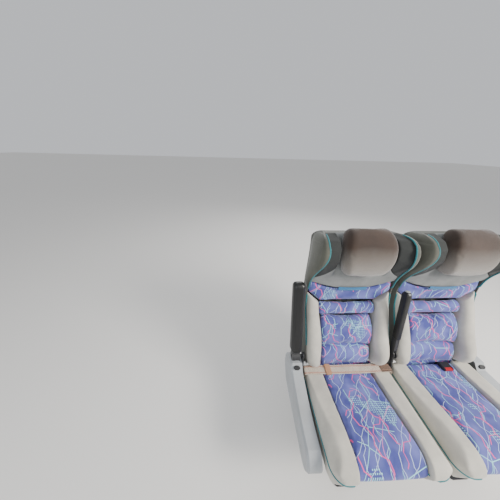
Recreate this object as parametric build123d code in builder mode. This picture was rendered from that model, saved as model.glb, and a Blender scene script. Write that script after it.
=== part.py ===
from build123d import *
from math import sin, cos, radians
import os

os.makedirs("parts", exist_ok=True)

# Double coach passenger seat, aisle seat and window seat on one base.
# Row frame: +X to the window, the seats face -Y, +Z up, origin on the floor at
# the middle of the four floor bolts. Millimetres.

# clearances
fit_gap = 0.3           # fixed pieces that lie together
soft_gap = 1.2          # between neighbouring pads
moving_gap = 7          # pieces that move past each other
pin_gap = 0.1           # pin in its bore

# base, from the floor up
bolt_x = 300            # floor bolts, from the middle
bolt_y = 170
bolt_hole_radius = 5.5
foot_plate = 8
foot_width = 96
foot_overhang = 32      # foot plate past the bolts
leg_width = 52
leg_wall = 4
tube_bottom = 278
tube_side = 42
tube_wall = 3
front_tube_y = -150
rear_tube_y = 96
pan_sheet = 3
pan_depth = 14
bracket_plate = 8

# cushion
cushion_half = 232
cushion_between = 22    # gap from one cushion to the other
cushion_depth = 446
cushion_rear = 152
cushion_side_height = 58
cushion_rear_height = 90
cushion_crest = 30      # rise of the thigh support over the rear
cushion_panel_half = 138
cushion_panel_depth = 26
bolster_step = 12       # panel lies this far below the sides

# back, measured up the leaning back from its foot
lean = 14               # degrees at rest
foot_y = 165
foot_rise = 6           # foot of the back over the cushion
low_pad_height = 98
mid_pad_height = 163
lumbar_height = 70
upper_pad_height = 117
head_height = 268
pad_foot = 4
low_pad_drop = 17       # the lowest pad ends this far under the others' foot
back_half = 228         # greatest half width of the shell
panel_half = 138        # half width of the channelled centre
lumbar_half = 152
pad_edge_drop = 12      # seams lie this far behind the shell's front edge
shell_wall = 4
rear_corner = 34        # rounding of the shell's rear corners
crown_half = 206        # half width at the crown
crown_corner = 44

# back, measured forward of its datum plane
foot_reach = 28         # shell's front edge at the foot
waist_reach = 22
hollow_reach = -30
wing_reach = 114        # tip of the wings
hoop_reach = -78        # centre of the frame tube
shell_reach = -108      # rear of the shell
head_floor_reach = 22   # bottom of the hollow between the wings
frame_tube_radius = 11
frame_tube_wall = 2
frame_half = 182
back_pan_sheet = 2
bolster_rise = 36       # bolsters stand this far over the shell's edge
wing_floor_half = 130
pillow_half = 122
pillow_end_bow = 16     # its ends bow out by this much
pillow_thickness = 98
pillow_foot = 70        # over the head part's lower edge
pillow_height = 220
pillow_round = 22
shoulder_rise = 66      # the upper pad widens over this height
tab_width = 150
tab_height = 26
tab_sheet = 2
tab_drop = 24           # tab hangs this far under the head part's lower edge
tab_settle = 1          # the front edge curves back behind its straight runs by this much

# recline hinge and armrests
recline_y = 195
recline_drop = 35       # axis below the foot of the back
hinge_plate = 5
hinge_inset = 38        # hinge plate from the shell's greatest half width
pin_radius = 8
aisle_arm_lean = 18     # degrees when raised
centre_arm_lean = 11.2
arm_rise = 76           # armrest pivot over the foot of the back
aisle_arm_y = 146
centre_arm_y = 144
arm_pin_radius = 7
hub_radius = 24
arm_bar = 30
arm_bar_length = 220
arm_pad_thickness = 54
aisle_pad_width = 58
centre_pad_width = 28
aisle_arm_length = 403
centre_arm_length = 368
aisle_core_width = 40
centre_core_width = 17
aisle_pad_foot = 31     # foot of the pad from the pivot
centre_pad_foot = 95

# side covers, belts and rear pocket
cover_width = 60
cover_wall = 3
cover_round = 9
post_radius = 8
belt_width = 46
belt_sheet = 1.6
belt_tip = 8            # degrees up to the back
belt_sag = 3
belt_inset = 40         # middle of the belt in front of the cushion's rear
belt_rise = 11          # belt over the cushion's rear end
buckle_width = 54
buckle_length = 48
buckle_height = 18
buckle_inset = 37       # its middle in front of the cushion's rear
buckle_across = 69      # from the seat's middle to the window
stalk_width = 30
adjuster_across = -108
adjuster_length = 30
adjuster_height = 6
button_length = 14
pocket_half = 165
pocket_height = 210
pocket_foot = 130
pocket_corner = 26
pocket_rim = 12
pocket_depth = 9
net_sheet = 1.6

# sizes that follow
seat_pitch = 2 * cushion_half + cushion_between
tube_top = tube_bottom + tube_side
pan_base = tube_top + fit_gap
cushion_base = pan_base + pan_depth
foot_z = cushion_base + cushion_rear_height + foot_rise
cushion_front = cushion_rear - cushion_depth
recline_z = foot_z - recline_drop
arm_z = foot_z + arm_rise
belt_y = cushion_rear - belt_inset
belt_z = cushion_base + cushion_rear_height + belt_rise
bracket_x = seat_pitch / 2 + cushion_half + moving_gap + bracket_plate
cover_x = bracket_x + fit_gap
plate_middle = bracket_plate / 2
aisle_arm_x = bracket_x + moving_gap + aisle_pad_width / 2
hinge_half = back_half - hinge_inset
low_seam = pad_foot + low_pad_height
mid_seam = low_seam + mid_pad_height
top_seam = mid_seam + lumbar_height
head_edge = top_seam + upper_pad_height
back_top = head_edge + head_height
pan_reach = hoop_reach + frame_tube_radius + fit_gap
pad_rear = pan_reach + back_pan_sheet + fit_gap

# front edge of the shell: (up the back, forward of the datum)
edge_line = [
    (pad_foot + 4, foot_reach),
    (pad_foot + 36, foot_reach),
    (low_seam + 18, waist_reach),
    ((low_seam + mid_seam) / 2 + 26, waist_reach - 28),
    (top_seam + 8, hollow_reach),
    (head_edge - 52, hollow_reach + 5),
    (head_edge + 10, hollow_reach + 25),
    (head_edge + 0.31 * head_height, 0.49 * wing_reach),
    (head_edge + 0.54 * head_height, 0.94 * wing_reach),
    (head_edge + 0.75 * head_height, wing_reach),
    (head_edge + 0.88 * head_height, 0.8 * wing_reach),
    (head_edge + 0.965 * head_height, 0.26 * wing_reach),
]
crown = (-0.28 * wing_reach, back_top)
rear_line = [
    (back_top - 0.06 * head_height, 0.72 * shell_reach),
    (back_top - 0.24 * head_height, 0.93 * shell_reach),
]
# sections of the shell: (up the back, half width)
section_line = [
    (pad_foot - 16, 0.912 * back_half),
    (low_seam + 18, 0.996 * back_half),
    (top_seam + 8, back_half),
    (head_edge + 10, 0.99 * back_half),
    (head_edge + 0.31 * head_height, 0.96 * back_half),
    (head_edge + 0.6 * head_height, 0.93 * back_half),
    (back_top + 10, 0.905 * back_half),
]
shoulder_slope = shoulder_rise / (back_half - lumbar_half)

up_y = sin(radians(lean))
up_z = cos(radians(lean))


def at_line(table, v):
    # value of a table of (height, value) at height v
    for (v0, a), (v1, b) in zip(table, table[1:]):
        if v <= v1:
            return a + (b - a) * (v - v0) / (v1 - v0)
    return table[-1][1]


def back_face(x, reach):
    # plane across the back; local x to the window, local y up the back, out forward
    origin = (x, foot_y - reach * up_z, foot_z + reach * up_y)
    return Plane(origin=origin, x_dir=(1, 0, 0), z_dir=(0, -up_z, up_y))


def back_side(x):
    # plane along the back; local x forward of the datum, local y up the back
    return Plane(origin=(x, foot_y, foot_z), x_dir=(0, -up_z, up_y), z_dir=(-1, 0, 0))


def back_level(x, v):
    # plane square to the back at height v; local x to the window, local y rearward
    origin = (x, foot_y + v * up_y, foot_z + v * up_z)
    return Plane(origin=origin, x_dir=(1, 0, 0), z_dir=(0, up_y, up_z))


def cross_section(x):
    # upright plane along the row's Y; local x rearward, local y up
    return Plane(origin=(x, 0, 0), x_dir=(0, 1, 0), z_dir=(1, 0, 0))


def arm_side(x, y, arm_lean):
    # side plane at an armrest's pivot; local x forward of the raised arm, local y along it
    tilt = radians(arm_lean)
    return Plane(origin=(x, y, arm_z), x_dir=(0, -cos(tilt), sin(tilt)), z_dir=(-1, 0, 0))


def side_outline(forward, inset):
    # outline of the back seen from the side, its front moved forward and the rest inset
    front = [(reach + forward, v) for v, reach in edge_line] + [(crown[0], crown[1] - inset)]
    rear = [front[-1]] + [(reach + inset, v - inset) for v, reach in rear_line]
    with BuildSketch(mode=Mode.PRIVATE) as face:
        with BuildLine():
            Spline(*front)
            Spline(*rear[:3])
            Polyline(rear[2], (2 * shell_reach, rear[2][1]), (2 * shell_reach, pad_foot - 16),
                     (shell_reach, pad_foot - 16),
                     front[0])
        make_face()
    return face.sketch


def back_block(x, forward, inset):
    # solid form of the back: rounded sections, trimmed to the side outline and the crown's corners
    with BuildPart(mode=Mode.PRIVATE) as block:
        for v, half in section_line:
            with BuildSketch(back_level(x, v)) as section:
                with Locations((0, (-shell_reach - 1.5 * wing_reach) / 2)):
                    Rectangle(2 * (half - inset), -shell_reach + 1.5 * wing_reach - 2 * inset)
                fillet(section.vertices().sort_by(Axis.Y)[-2:], rear_corner - inset)
        loft()
        with BuildSketch(back_side(x)):
            add(side_outline(forward, inset))
        extrude(amount=back_half + 10, both=True, mode=Mode.INTERSECT)
        with BuildSketch(back_face(x, 2 * shell_reach)) as crown_face:
            with Locations((0, back_top - inset - 100)):
                Rectangle(2 * (crown_half - inset), 200)
            fillet(crown_face.vertices().sort_by(Axis.Y)[-2:], crown_corner - inset)
            with Locations((0, (back_top - crown_corner) / 2 - 30)):
                Rectangle(3 * back_half, back_top - crown_corner + 60)
        extrude(amount=5 * wing_reach, mode=Mode.INTERSECT)
    return block.part


def keep(name, piece):
    piece.part.label = name
    export_step(piece.part, "parts/" + name + ".step")


def make_back_shell(side, x):
    # moulded rear shell, open to the front; its cross ribs lie on the frame
    rib_front = -hoop_reach + frame_tube_radius + fit_gap
    rib_depth = -shell_reach - 1 - rib_front
    with BuildPart() as back_shell:
        add(back_block(x, 0, 0))
        add(back_block(x, 40, shell_wall), mode=Mode.SUBTRACT)
        for v in (low_seam + 24, mid_seam, top_seam + 40):
            with BuildSketch(back_level(x, v)):
                with Locations((0, rib_front + rib_depth / 2)):
                    Rectangle(1.6 * back_half, rib_depth)
            extrude(amount=shell_wall)
    keep("back_shell_" + side, back_shell)


def make_headrest(side, x, inside):
    # soft head part, hollowed between its wings, with room behind for the frame
    outer = 1.2 * back_half
    top = 1.1 * back_top
    tip = -1.32 * wing_reach
    with BuildPart() as headrest:
        add(inside)
        with BuildSketch(back_side(x)):
            add(side_outline(0, 0))
        extrude(amount=back_half, both=True, mode=Mode.INTERSECT)
        with BuildSketch(back_face(x, 2 * shell_reach)):
            with BuildLine():
                ThreePointArc((-outer, head_edge + 14), (0, head_edge - 10), (outer, head_edge + 14))
                Polyline((outer, head_edge + 14), (outer, top), (-outer, top), (-outer, head_edge + 14))
            make_face()
        extrude(amount=5 * wing_reach, mode=Mode.INTERSECT)
        with BuildSketch(back_level(x, head_edge - 20)):
            with BuildLine():
                left = ThreePointArc((-crown_half - 5, tip), (-crown_half + 20, -0.66 * wing_reach),
                                     (-wing_floor_half, -head_floor_reach))
                right = ThreePointArc((wing_floor_half, -head_floor_reach),
                                      (crown_half - 20, -0.66 * wing_reach),
                                      (crown_half + 5, tip))
                Line(left @ 1, right @ 0)
                Line(right @ 1, left @ 0)
            make_face()
        extrude(amount=head_height + 60, mode=Mode.SUBTRACT)
        with BuildSketch(back_face(x, 2 * shell_reach)):
            with Locations((0, head_edge)):
                Rectangle(2 * (frame_half + frame_tube_radius + moving_gap), 250)
        extrude(amount=pan_reach - 2 * shell_reach, mode=Mode.SUBTRACT)
    keep("headrest_" + side, headrest)


def make_pillow(side, x):
    # barrel shaped pillow on the floor of the head part, its top over the crown
    rear = head_floor_reach + fit_gap
    foot = head_edge + pillow_foot
    top = foot + pillow_height
    narrow = pillow_half - pillow_end_bow
    with BuildPart() as pillow:
        with BuildSketch(back_side(x)):
            with BuildLine():
                Spline((rear, foot), (rear + 0.6 * pillow_thickness, foot + 6),
                       (rear + 0.92 * pillow_thickness, foot + 0.24 * pillow_height),
                       (rear + pillow_thickness, foot + 0.52 * pillow_height),
                       (rear + 0.92 * pillow_thickness, foot + 0.78 * pillow_height),
                       (rear + 0.56 * pillow_thickness, top - 6), (rear, top))
                Line((rear, top), (rear, foot))
            make_face()
        extrude(amount=1.2 * pillow_half, both=True)
        with BuildSketch(back_face(x, 0)):
            with BuildLine():
                Line((-narrow, foot - 5), (narrow, foot - 5))
                ThreePointArc((narrow, foot - 5), (pillow_half, foot + 0.55 * pillow_height),
                              (narrow + 6, top + 5))
                Line((narrow + 6, top + 5), (-narrow - 6, top + 5))
                ThreePointArc((-narrow - 6, top + 5), (-pillow_half, foot + 0.55 * pillow_height),
                              (-narrow, foot - 5))
            make_face()
        extrude(amount=2 * wing_reach, mode=Mode.INTERSECT)
        for end in (pillow.faces().sort_by(Axis.X)[0], pillow.faces().sort_by(Axis.X)[-1]):
            fillet(end.edges().sort_by(Axis.Y)[0], pillow_round)
    keep("pillow_" + side, pillow)


def make_head_tab(side, x):
    # pull tab that hangs on the head part's lower edge
    low = head_edge - tab_drop
    high = low + tab_height
    with BuildPart() as head_tab:
        with BuildSketch(back_side(x)):
            with BuildLine():
                rear_low = (at_line(edge_line, low) - 2 * tab_settle, low)
                rear_high = (at_line(edge_line, high) - tab_settle, high)
                Polyline(rear_low, rear_high, (rear_high[0] + tab_sheet, high),
                         (rear_low[0] + tab_sheet, low), rear_low)
            make_face()
        extrude(amount=tab_width / 2, both=True)
    keep("head_tab_" + side, head_tab)


def make_pads(side, x, inside):
    # channelled centre: name, lower and upper edge, half width, swell of its front
    rows = (
        ("low", pad_foot - low_pad_drop, low_seam, panel_half - 6, 14),
        ("mid", low_seam, mid_seam, panel_half, 24),
        ("lumbar", mid_seam, top_seam, lumbar_half, 18),
        ("upper", top_seam, head_edge + 18, back_half, 10),
    )
    for name, foot, top, half, swell in rows:
        foot += soft_gap / 2
        top -= soft_gap / 2
        middle = (foot + top) / 2
        crest = at_line(edge_line, middle) - pad_edge_drop + swell
        with BuildPart() as pad:
            with BuildSketch(back_side(x)):
                with BuildLine():
                    front = ThreePointArc((at_line(edge_line, foot) - pad_edge_drop, foot), (crest, middle),
                                          (at_line(edge_line, top) - pad_edge_drop, top))
                    Polyline(front @ 1, (pad_rear, top), (pad_rear, foot), front @ 0)
                make_face()
            extrude(amount=half, both=True)
            if name == "upper":
                # its lower corners run in to the lumbar roll, its top follows the head part
                outer = 1.2 * back_half
                shoulder = foot + (outer - lumbar_half) * shoulder_slope
                add(inside, mode=Mode.INTERSECT)
                with BuildSketch(back_face(x, 2 * shell_reach)):
                    with BuildLine():
                        arc = ThreePointArc((-outer, head_edge + 14 - soft_gap),
                                            (0, head_edge - 10 - soft_gap),
                                            (outer, head_edge + 14 - soft_gap))
                        Polyline(arc @ 1, (outer, shoulder), (lumbar_half, foot), (-lumbar_half, foot),
                                 (-outer, shoulder),
                                 arc @ 0)
                    make_face()
                extrude(amount=5 * wing_reach, mode=Mode.INTERSECT)
            else:
                for end in (pad.faces().sort_by(Axis.X)[0], pad.faces().sort_by(Axis.X)[-1]):
                    fillet(end.edges().sort_by(Axis.Y)[0], 12)
        keep("pad_" + name + "_" + side, pad)


def make_bolsters(side, x, inside):
    # firm sides of the back: (up the back, inner edge, rise of the crest)
    rows = (
        (pad_foot, panel_half - 4, 0.6 * bolster_rise),
        (low_seam + 18, panel_half + 6, bolster_rise),
        (mid_seam - 60, panel_half + 8, bolster_rise),
        (mid_seam - 8, lumbar_half + 1, 0.9 * bolster_rise),
        (top_seam + 8, lumbar_half + 2, 0.6 * bolster_rise),
        (head_edge - 30, lumbar_half + 12, 0.3 * bolster_rise),
    )
    for turn, hand in ((-1, "left"), (1, "right")):
        with BuildPart() as bolster:
            for v, inner, rise in rows:
                edge = at_line(edge_line, v)
                inner += soft_gap
                outer = at_line(section_line, v) - shell_wall
                with BuildSketch(back_level(x, v)):
                    with BuildLine():
                        arc = ThreePointArc((turn * inner, pad_edge_drop - edge),
                                            (turn * (0.42 * inner + 0.58 * outer), -edge - rise),
                                            (turn * outer, 2 - edge))
                        Polyline(arc @ 1, (turn * outer, -pad_rear), (turn * inner, -pad_rear), arc @ 0)
                    make_face()
            loft()
            add(inside, mode=Mode.INTERSECT)
            reach_in = turn * 0.4 * back_half
            reach_out = turn * 1.2 * back_half
            shoulder = top_seam - soft_gap / 2
            with BuildSketch(back_face(x, 2 * shell_reach)):
                with BuildLine():
                    Polyline((reach_in, pad_foot), (reach_out, pad_foot),
                             (reach_out, shoulder + (1.2 * back_half - lumbar_half) * shoulder_slope),
                             (turn * lumbar_half, shoulder), (reach_in, shoulder), (reach_in, pad_foot))
                make_face()
            extrude(amount=5 * wing_reach, mode=Mode.INTERSECT)
        keep("bolster_" + hand + "_" + side, bolster)


def make_back_frame(side, x):
    # tube hoop, cross tubes and hinge plates
    with BuildPart() as back_frame:
        with BuildLine(back_face(x, hoop_reach)) as hoop:
            Polyline((-frame_half, -24), (-frame_half, head_edge + 108), (frame_half, head_edge + 108),
                     (frame_half, -24))
            fillet(hoop.vertices().sort_by(Axis.Z)[-2:], 60)
        with BuildSketch(Plane(origin=hoop.line @ 0, z_dir=hoop.line % 0)):
            Circle(frame_tube_radius)
            Circle(frame_tube_radius - frame_tube_wall, mode=Mode.SUBTRACT)
        sweep()
        for v in (low_seam - 80, top_seam - 30):
            with BuildSketch(back_side(x)):
                with Locations((hoop_reach, v)):
                    Circle(frame_tube_radius - 2)
            extrude(amount=frame_half - frame_tube_radius + 2, both=True)
        for turn in (-1, 1):
            with BuildSketch(back_side(x + turn * hinge_half)) as plate:
                with BuildLine():
                    Polyline((hoop_reach - 8, 60), (hoop_reach + 8, 60), (pan_reach - 1, pad_foot - 3),
                             (-20, -14), (-20, -30),
                             (-34, -44), (-52, -44), (hoop_reach - 8, -18), (hoop_reach - 8, 60))
                make_face()
            extrude(amount=-turn * hinge_plate)
        with BuildSketch(cross_section(x)):
            with Locations((recline_y, recline_z)):
                Circle(pin_radius + pin_gap)
        extrude(amount=back_half, both=True, mode=Mode.SUBTRACT)
    keep("back_frame_" + side, back_frame)


def make_back_pan(side, x):
    # pressed sheet on the frame that carries the pads
    foot = pad_foot + 2
    height = head_edge - 14 - foot
    with BuildPart() as back_pan:
        with BuildSketch(back_face(x, pan_reach)):
            with Locations((0, foot + height / 2)):
                RectangleRounded(2 * (frame_half + 14), height, 18)
            with GridLocations(130, 120, 2, 3):
                with Locations((0, foot + height / 2)):
                    RectangleRounded(96, 84, 16, mode=Mode.SUBTRACT)
        extrude(amount=back_pan_sheet)
    keep("back_pan_" + side, back_pan)


def make_pocket(side, x):
    # framed net for papers on the shell's rear
    rear = shell_reach - fit_gap
    middle = (0, pocket_foot + pocket_height / 2)
    with BuildPart() as pocket_frame:
        with BuildSketch(back_face(x, rear)):
            with Locations(middle):
                RectangleRounded(2 * pocket_half, pocket_height, pocket_corner)
                RectangleRounded(2 * (pocket_half - pocket_rim), pocket_height - 2 * pocket_rim,
                                 pocket_corner - pocket_rim, mode=Mode.SUBTRACT)
        extrude(amount=-pocket_depth)
        chamfer(pocket_frame.faces().sort_by(Axis.Y)[-1].outer_wire().edges(), 2)
    keep("pocket_frame_" + side, pocket_frame)
    with BuildPart() as pocket_net:
        with BuildSketch(back_face(x, rear - pocket_depth / 2)):
            with Locations(middle):
                RectangleRounded(2 * (pocket_half - pocket_rim - fit_gap),
                                 pocket_height - 2 * (pocket_rim + fit_gap),
                                 pocket_corner - pocket_rim)
        extrude(amount=-net_sheet)
    keep("pocket_net_" + side, pocket_net)


def cushion_profile(drop):
    # side outline of a cushion, its top and nose drawn in by drop; local x along Y, local y up
    rear_top = cushion_base + cushion_rear_height - drop
    crest_top = rear_top + cushion_crest
    nose = cushion_front + drop
    with BuildSketch(mode=Mode.PRIVATE) as face:
        with BuildLine():
            top = Spline((cushion_rear, rear_top),
                         (cushion_rear - 0.25 * cushion_depth, rear_top + 0.2 * cushion_crest),
                         (cushion_rear - 0.5 * cushion_depth, rear_top + 0.6 * cushion_crest),
                         (nose + 0.2 * cushion_depth, crest_top),
                         (nose + 0.06 * cushion_depth, crest_top - 14),
                         (nose, rear_top - 26))
            Polyline(top @ 1, (nose + 24, cushion_base), (cushion_rear, cushion_base), top @ 0)
        make_face()
    return face.sketch


def cushion_block(x, half, drop):
    # part of a cushion's form that lies within half of its middle
    with BuildPart(mode=Mode.PRIVATE) as block:
        with BuildSketch(cross_section(x)):
            add(cushion_profile(drop))
        extrude(amount=half, both=True)
    return block.part


def make_cushion(side, x):
    # foam body with raised, rounded sides, and the softer panel let into it
    with BuildPart() as cushion:
        with BuildSketch(Plane.XY.offset(cushion_base)) as plan:
            with Locations((x, (cushion_front + cushion_rear) / 2)):
                Rectangle(2 * cushion_half, cushion_depth)
            fillet(plan.vertices().sort_by(Axis.Y)[:2], 60)
            fillet(plan.vertices().sort_by(Axis.Y)[-2:], 44)
        extrude(amount=2 * cushion_rear_height)
        add(cushion_block(x, cushion_half + 5, 0), mode=Mode.INTERSECT)
        with BuildSketch(Plane.XZ.offset(-cushion_rear - 5)) as rounding:
            with Locations((x, cushion_base + cushion_rear_height)):
                Rectangle(2 * cushion_half, 3 * cushion_rear_height)
            shoulder = cushion_base + cushion_side_height
            crest = cushion_base + cushion_rear_height + cushion_crest
            for turn in (-1, 1):
                outer = x + turn * cushion_half
                with BuildLine():
                    arc = ThreePointArc((outer, shoulder), (outer - turn * 13, shoulder + 36),
                                        (outer - turn * 46, crest))
                    Polyline(arc @ 1, (outer + turn * 20, crest + 60), (outer + turn * 20, shoulder), arc @ 0)
                make_face(mode=Mode.SUBTRACT)
        extrude(amount=cushion_depth + 10, mode=Mode.INTERSECT)
        add(cushion_block(x, cushion_panel_half, -60), mode=Mode.SUBTRACT)
        add(cushion_block(x, cushion_panel_half, bolster_step + cushion_panel_depth))
    keep("cushion_" + side, cushion)
    with BuildPart() as cushion_panel:
        add(cushion_block(x, cushion_panel_half - fit_gap, bolster_step))
        add(cushion_block(x, cushion_panel_half, bolster_step + cushion_panel_depth - fit_gap),
            mode=Mode.SUBTRACT)
        with BuildSketch(Plane.XY):
            with Locations((x, cushion_rear)):
                Rectangle(3 * cushion_half, 2 * fit_gap)
        extrude(amount=2 * foot_z, mode=Mode.SUBTRACT)
    keep("cushion_panel_" + side, cushion_panel)


def make_seat_pan(side, x):
    # pressed tray on the cross tubes
    half = cushion_half - 24
    pan_front = cushion_front + 52
    pan_rear = cushion_rear - 16
    middle = (x, (pan_front + pan_rear) / 2)
    with BuildPart() as seat_pan:
        with BuildSketch(Plane.XY.offset(pan_base)):
            with Locations(middle):
                RectangleRounded(2 * half, pan_rear - pan_front, 26)
        extrude(amount=pan_depth - fit_gap)
        with BuildSketch(Plane.XY.offset(pan_base + pan_sheet)):
            with Locations(middle):
                RectangleRounded(2 * (half - pan_sheet), pan_rear - pan_front - 2 * pan_sheet, 26 - pan_sheet)
        extrude(amount=pan_depth, mode=Mode.SUBTRACT)
        with BuildSketch(Plane.XY.offset(pan_base)):
            with Locations(middle):
                with GridLocations(130, 74, 3, 4):
                    SlotOverall(84, 30)
        extrude(amount=pan_sheet, mode=Mode.SUBTRACT)
    keep("seat_pan_" + side, seat_pan)


def make_leg(side, x):
    # pressed pedestal leg: flanged web, foot plate with the floor bolts, top plate under the tubes
    top = tube_bottom - fit_gap
    foot_end = bolt_y + foot_overhang
    web_end = bolt_y - foot_overhang
    with BuildPart() as leg:
        with BuildSketch(cross_section(x)) as web:
            with BuildLine():
                Polyline((-web_end, foot_plate), (web_end, foot_plate), (web_end, foot_plate + 12),
                         (84, 66), (58, 120),
                         (58, 190), (rear_tube_y + tube_side, top), (front_tube_y - tube_side, top),
                         (-66, 190),
                         (-66, 120), (-92, 66), (-web_end, foot_plate + 12), (-web_end, foot_plate))
            make_face()
        extrude(amount=leg_width / 2, both=True)
        for turn in (-1, 1):
            with BuildSketch(cross_section(x + turn * leg_wall / 2)):
                offset(web.sketch_local, amount=-leg_wall)
            extrude(amount=turn * leg_width, mode=Mode.SUBTRACT)
        with BuildSketch(cross_section(x)):
            with Locations((-4, 216), (-4, 150)):
                Circle(22)
            with Locations((-4, 60)):
                SlotOverall(120, 40)
        extrude(amount=leg_wall, both=True, mode=Mode.SUBTRACT)
        with BuildSketch(Plane.XY):
            with Locations((x, 0)):
                RectangleRounded(foot_width, 2 * foot_end, 12)
        extrude(amount=foot_plate)
        with BuildSketch(Plane.XY):
            with Locations((x, -bolt_y), (x, bolt_y)):
                Circle(bolt_hole_radius)
        extrude(amount=foot_plate, mode=Mode.SUBTRACT)
    keep("leg_" + side, leg)


def make_cross_tube(name, y):
    # box tube between the side brackets
    with BuildPart() as cross_tube:
        with BuildSketch(Plane.YZ):
            with Locations((y, tube_bottom + tube_side / 2)):
                RectangleRounded(tube_side, tube_side, 6)
                RectangleRounded(tube_side - 2 * tube_wall, tube_side - 2 * tube_wall, 6 - tube_wall,
                                 mode=Mode.SUBTRACT)
        extrude(amount=bracket_x - bracket_plate - fit_gap, both=True)
    keep("cross_tube_" + name, cross_tube)


def make_bracket(name, x, turns, arm_y):
    # plate that carries a recline pin and, where there is an armrest, its pin
    base = tube_bottom + 6 if x else tube_top + fit_gap
    rear = recline_y + 3 * pin_radius
    with BuildPart() as bracket:
        with BuildSketch(cross_section(x)) as plate:
            with BuildLine():
                Polyline((front_tube_y - 30, base), (rear_tube_y + 34, base), (rear, recline_z - 18),
                         (rear, recline_z + 6),
                         (recline_y + 8, recline_z + 22), (150, recline_z + 16), (90, tube_top + 44),
                         (front_tube_y - 30, tube_top + 20), (front_tube_y - 30, base))
            make_face()
            fillet(plate.vertices(), 6)
            if arm_y:
                with BuildLine():
                    Polyline((arm_y - 13, arm_z), (arm_y + 13, arm_z), (recline_y - 4, recline_z),
                             (96, tube_top + 30),
                             (arm_y - 13, arm_z))
                make_face()
                with Locations((arm_y, arm_z)):
                    Circle(16)
            with Locations((-30, tube_top + 10)):
                SlotOverall(120, 10, mode=Mode.SUBTRACT)
        extrude(amount=bracket_plate / 2, both=True)
        reach = abs(abs(x) - seat_pitch / 2) - hinge_half + hinge_plate + 3
        for turn in turns:
            with BuildSketch(cross_section(x)):
                with Locations((recline_y, recline_z)):
                    Circle(pin_radius)
            extrude(amount=turn * reach)
        if arm_y and x:
            with BuildSketch(cross_section(x)):
                with Locations((arm_y, arm_z)):
                    Circle(arm_pin_radius)
            extrude(amount=-(x + aisle_arm_x + aisle_core_width / 2 - 4))
        elif arm_y:
            with BuildSketch(cross_section(x)):
                with Locations((arm_y, arm_z)):
                    Circle(arm_pin_radius)
            extrude(amount=centre_core_width / 2 + 2, both=True)
    keep("bracket_" + name, bracket)


def make_armrest(name, pivot, length, arm_foot, pad_width, core_width):
    # raised armrest: a core that turns on its pin, and the soft pad over it
    half = arm_pad_thickness / 2
    with BuildPart() as arm_core:
        with BuildSketch(pivot):
            Circle(hub_radius)
            with Locations((0, arm_bar_length / 2)):
                Rectangle(arm_bar, arm_bar_length)
        extrude(amount=core_width / 2, both=True)
        if name == "centre":
            # fork over the centre bracket
            with BuildSketch(pivot):
                Circle(hub_radius + moving_gap)
            extrude(amount=bracket_plate / 2 + 1, both=True, mode=Mode.SUBTRACT)
        with BuildSketch(pivot):
            Circle(arm_pin_radius + pin_gap)
        extrude(amount=core_width, both=True, mode=Mode.SUBTRACT)
    keep("arm_core_" + name, arm_core)
    with BuildPart() as arm_pad:
        with BuildSketch(pivot):
            with BuildLine():
                Polyline((-half, length - half), (-half, arm_foot), (half, arm_foot), (half, length - half))
                ThreePointArc((half, length - half), (0, length), (-half, length - half))
            make_face()
        extrude(amount=pad_width / 2, both=True)
        for end in (arm_pad.faces().sort_by(Axis.X)[0], arm_pad.faces().sort_by(Axis.X)[-1]):
            fillet(end.edges(), 0.28 * pad_width)
        with BuildSketch(pivot):
            with Locations((0, arm_bar_length / 2)):
                Rectangle(arm_bar + 2 * fit_gap, arm_bar_length + 2 * fit_gap)
        extrude(amount=core_width / 2 + fit_gap, both=True, mode=Mode.SUBTRACT)
    keep("arm_pad_" + name, arm_pad)


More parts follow.
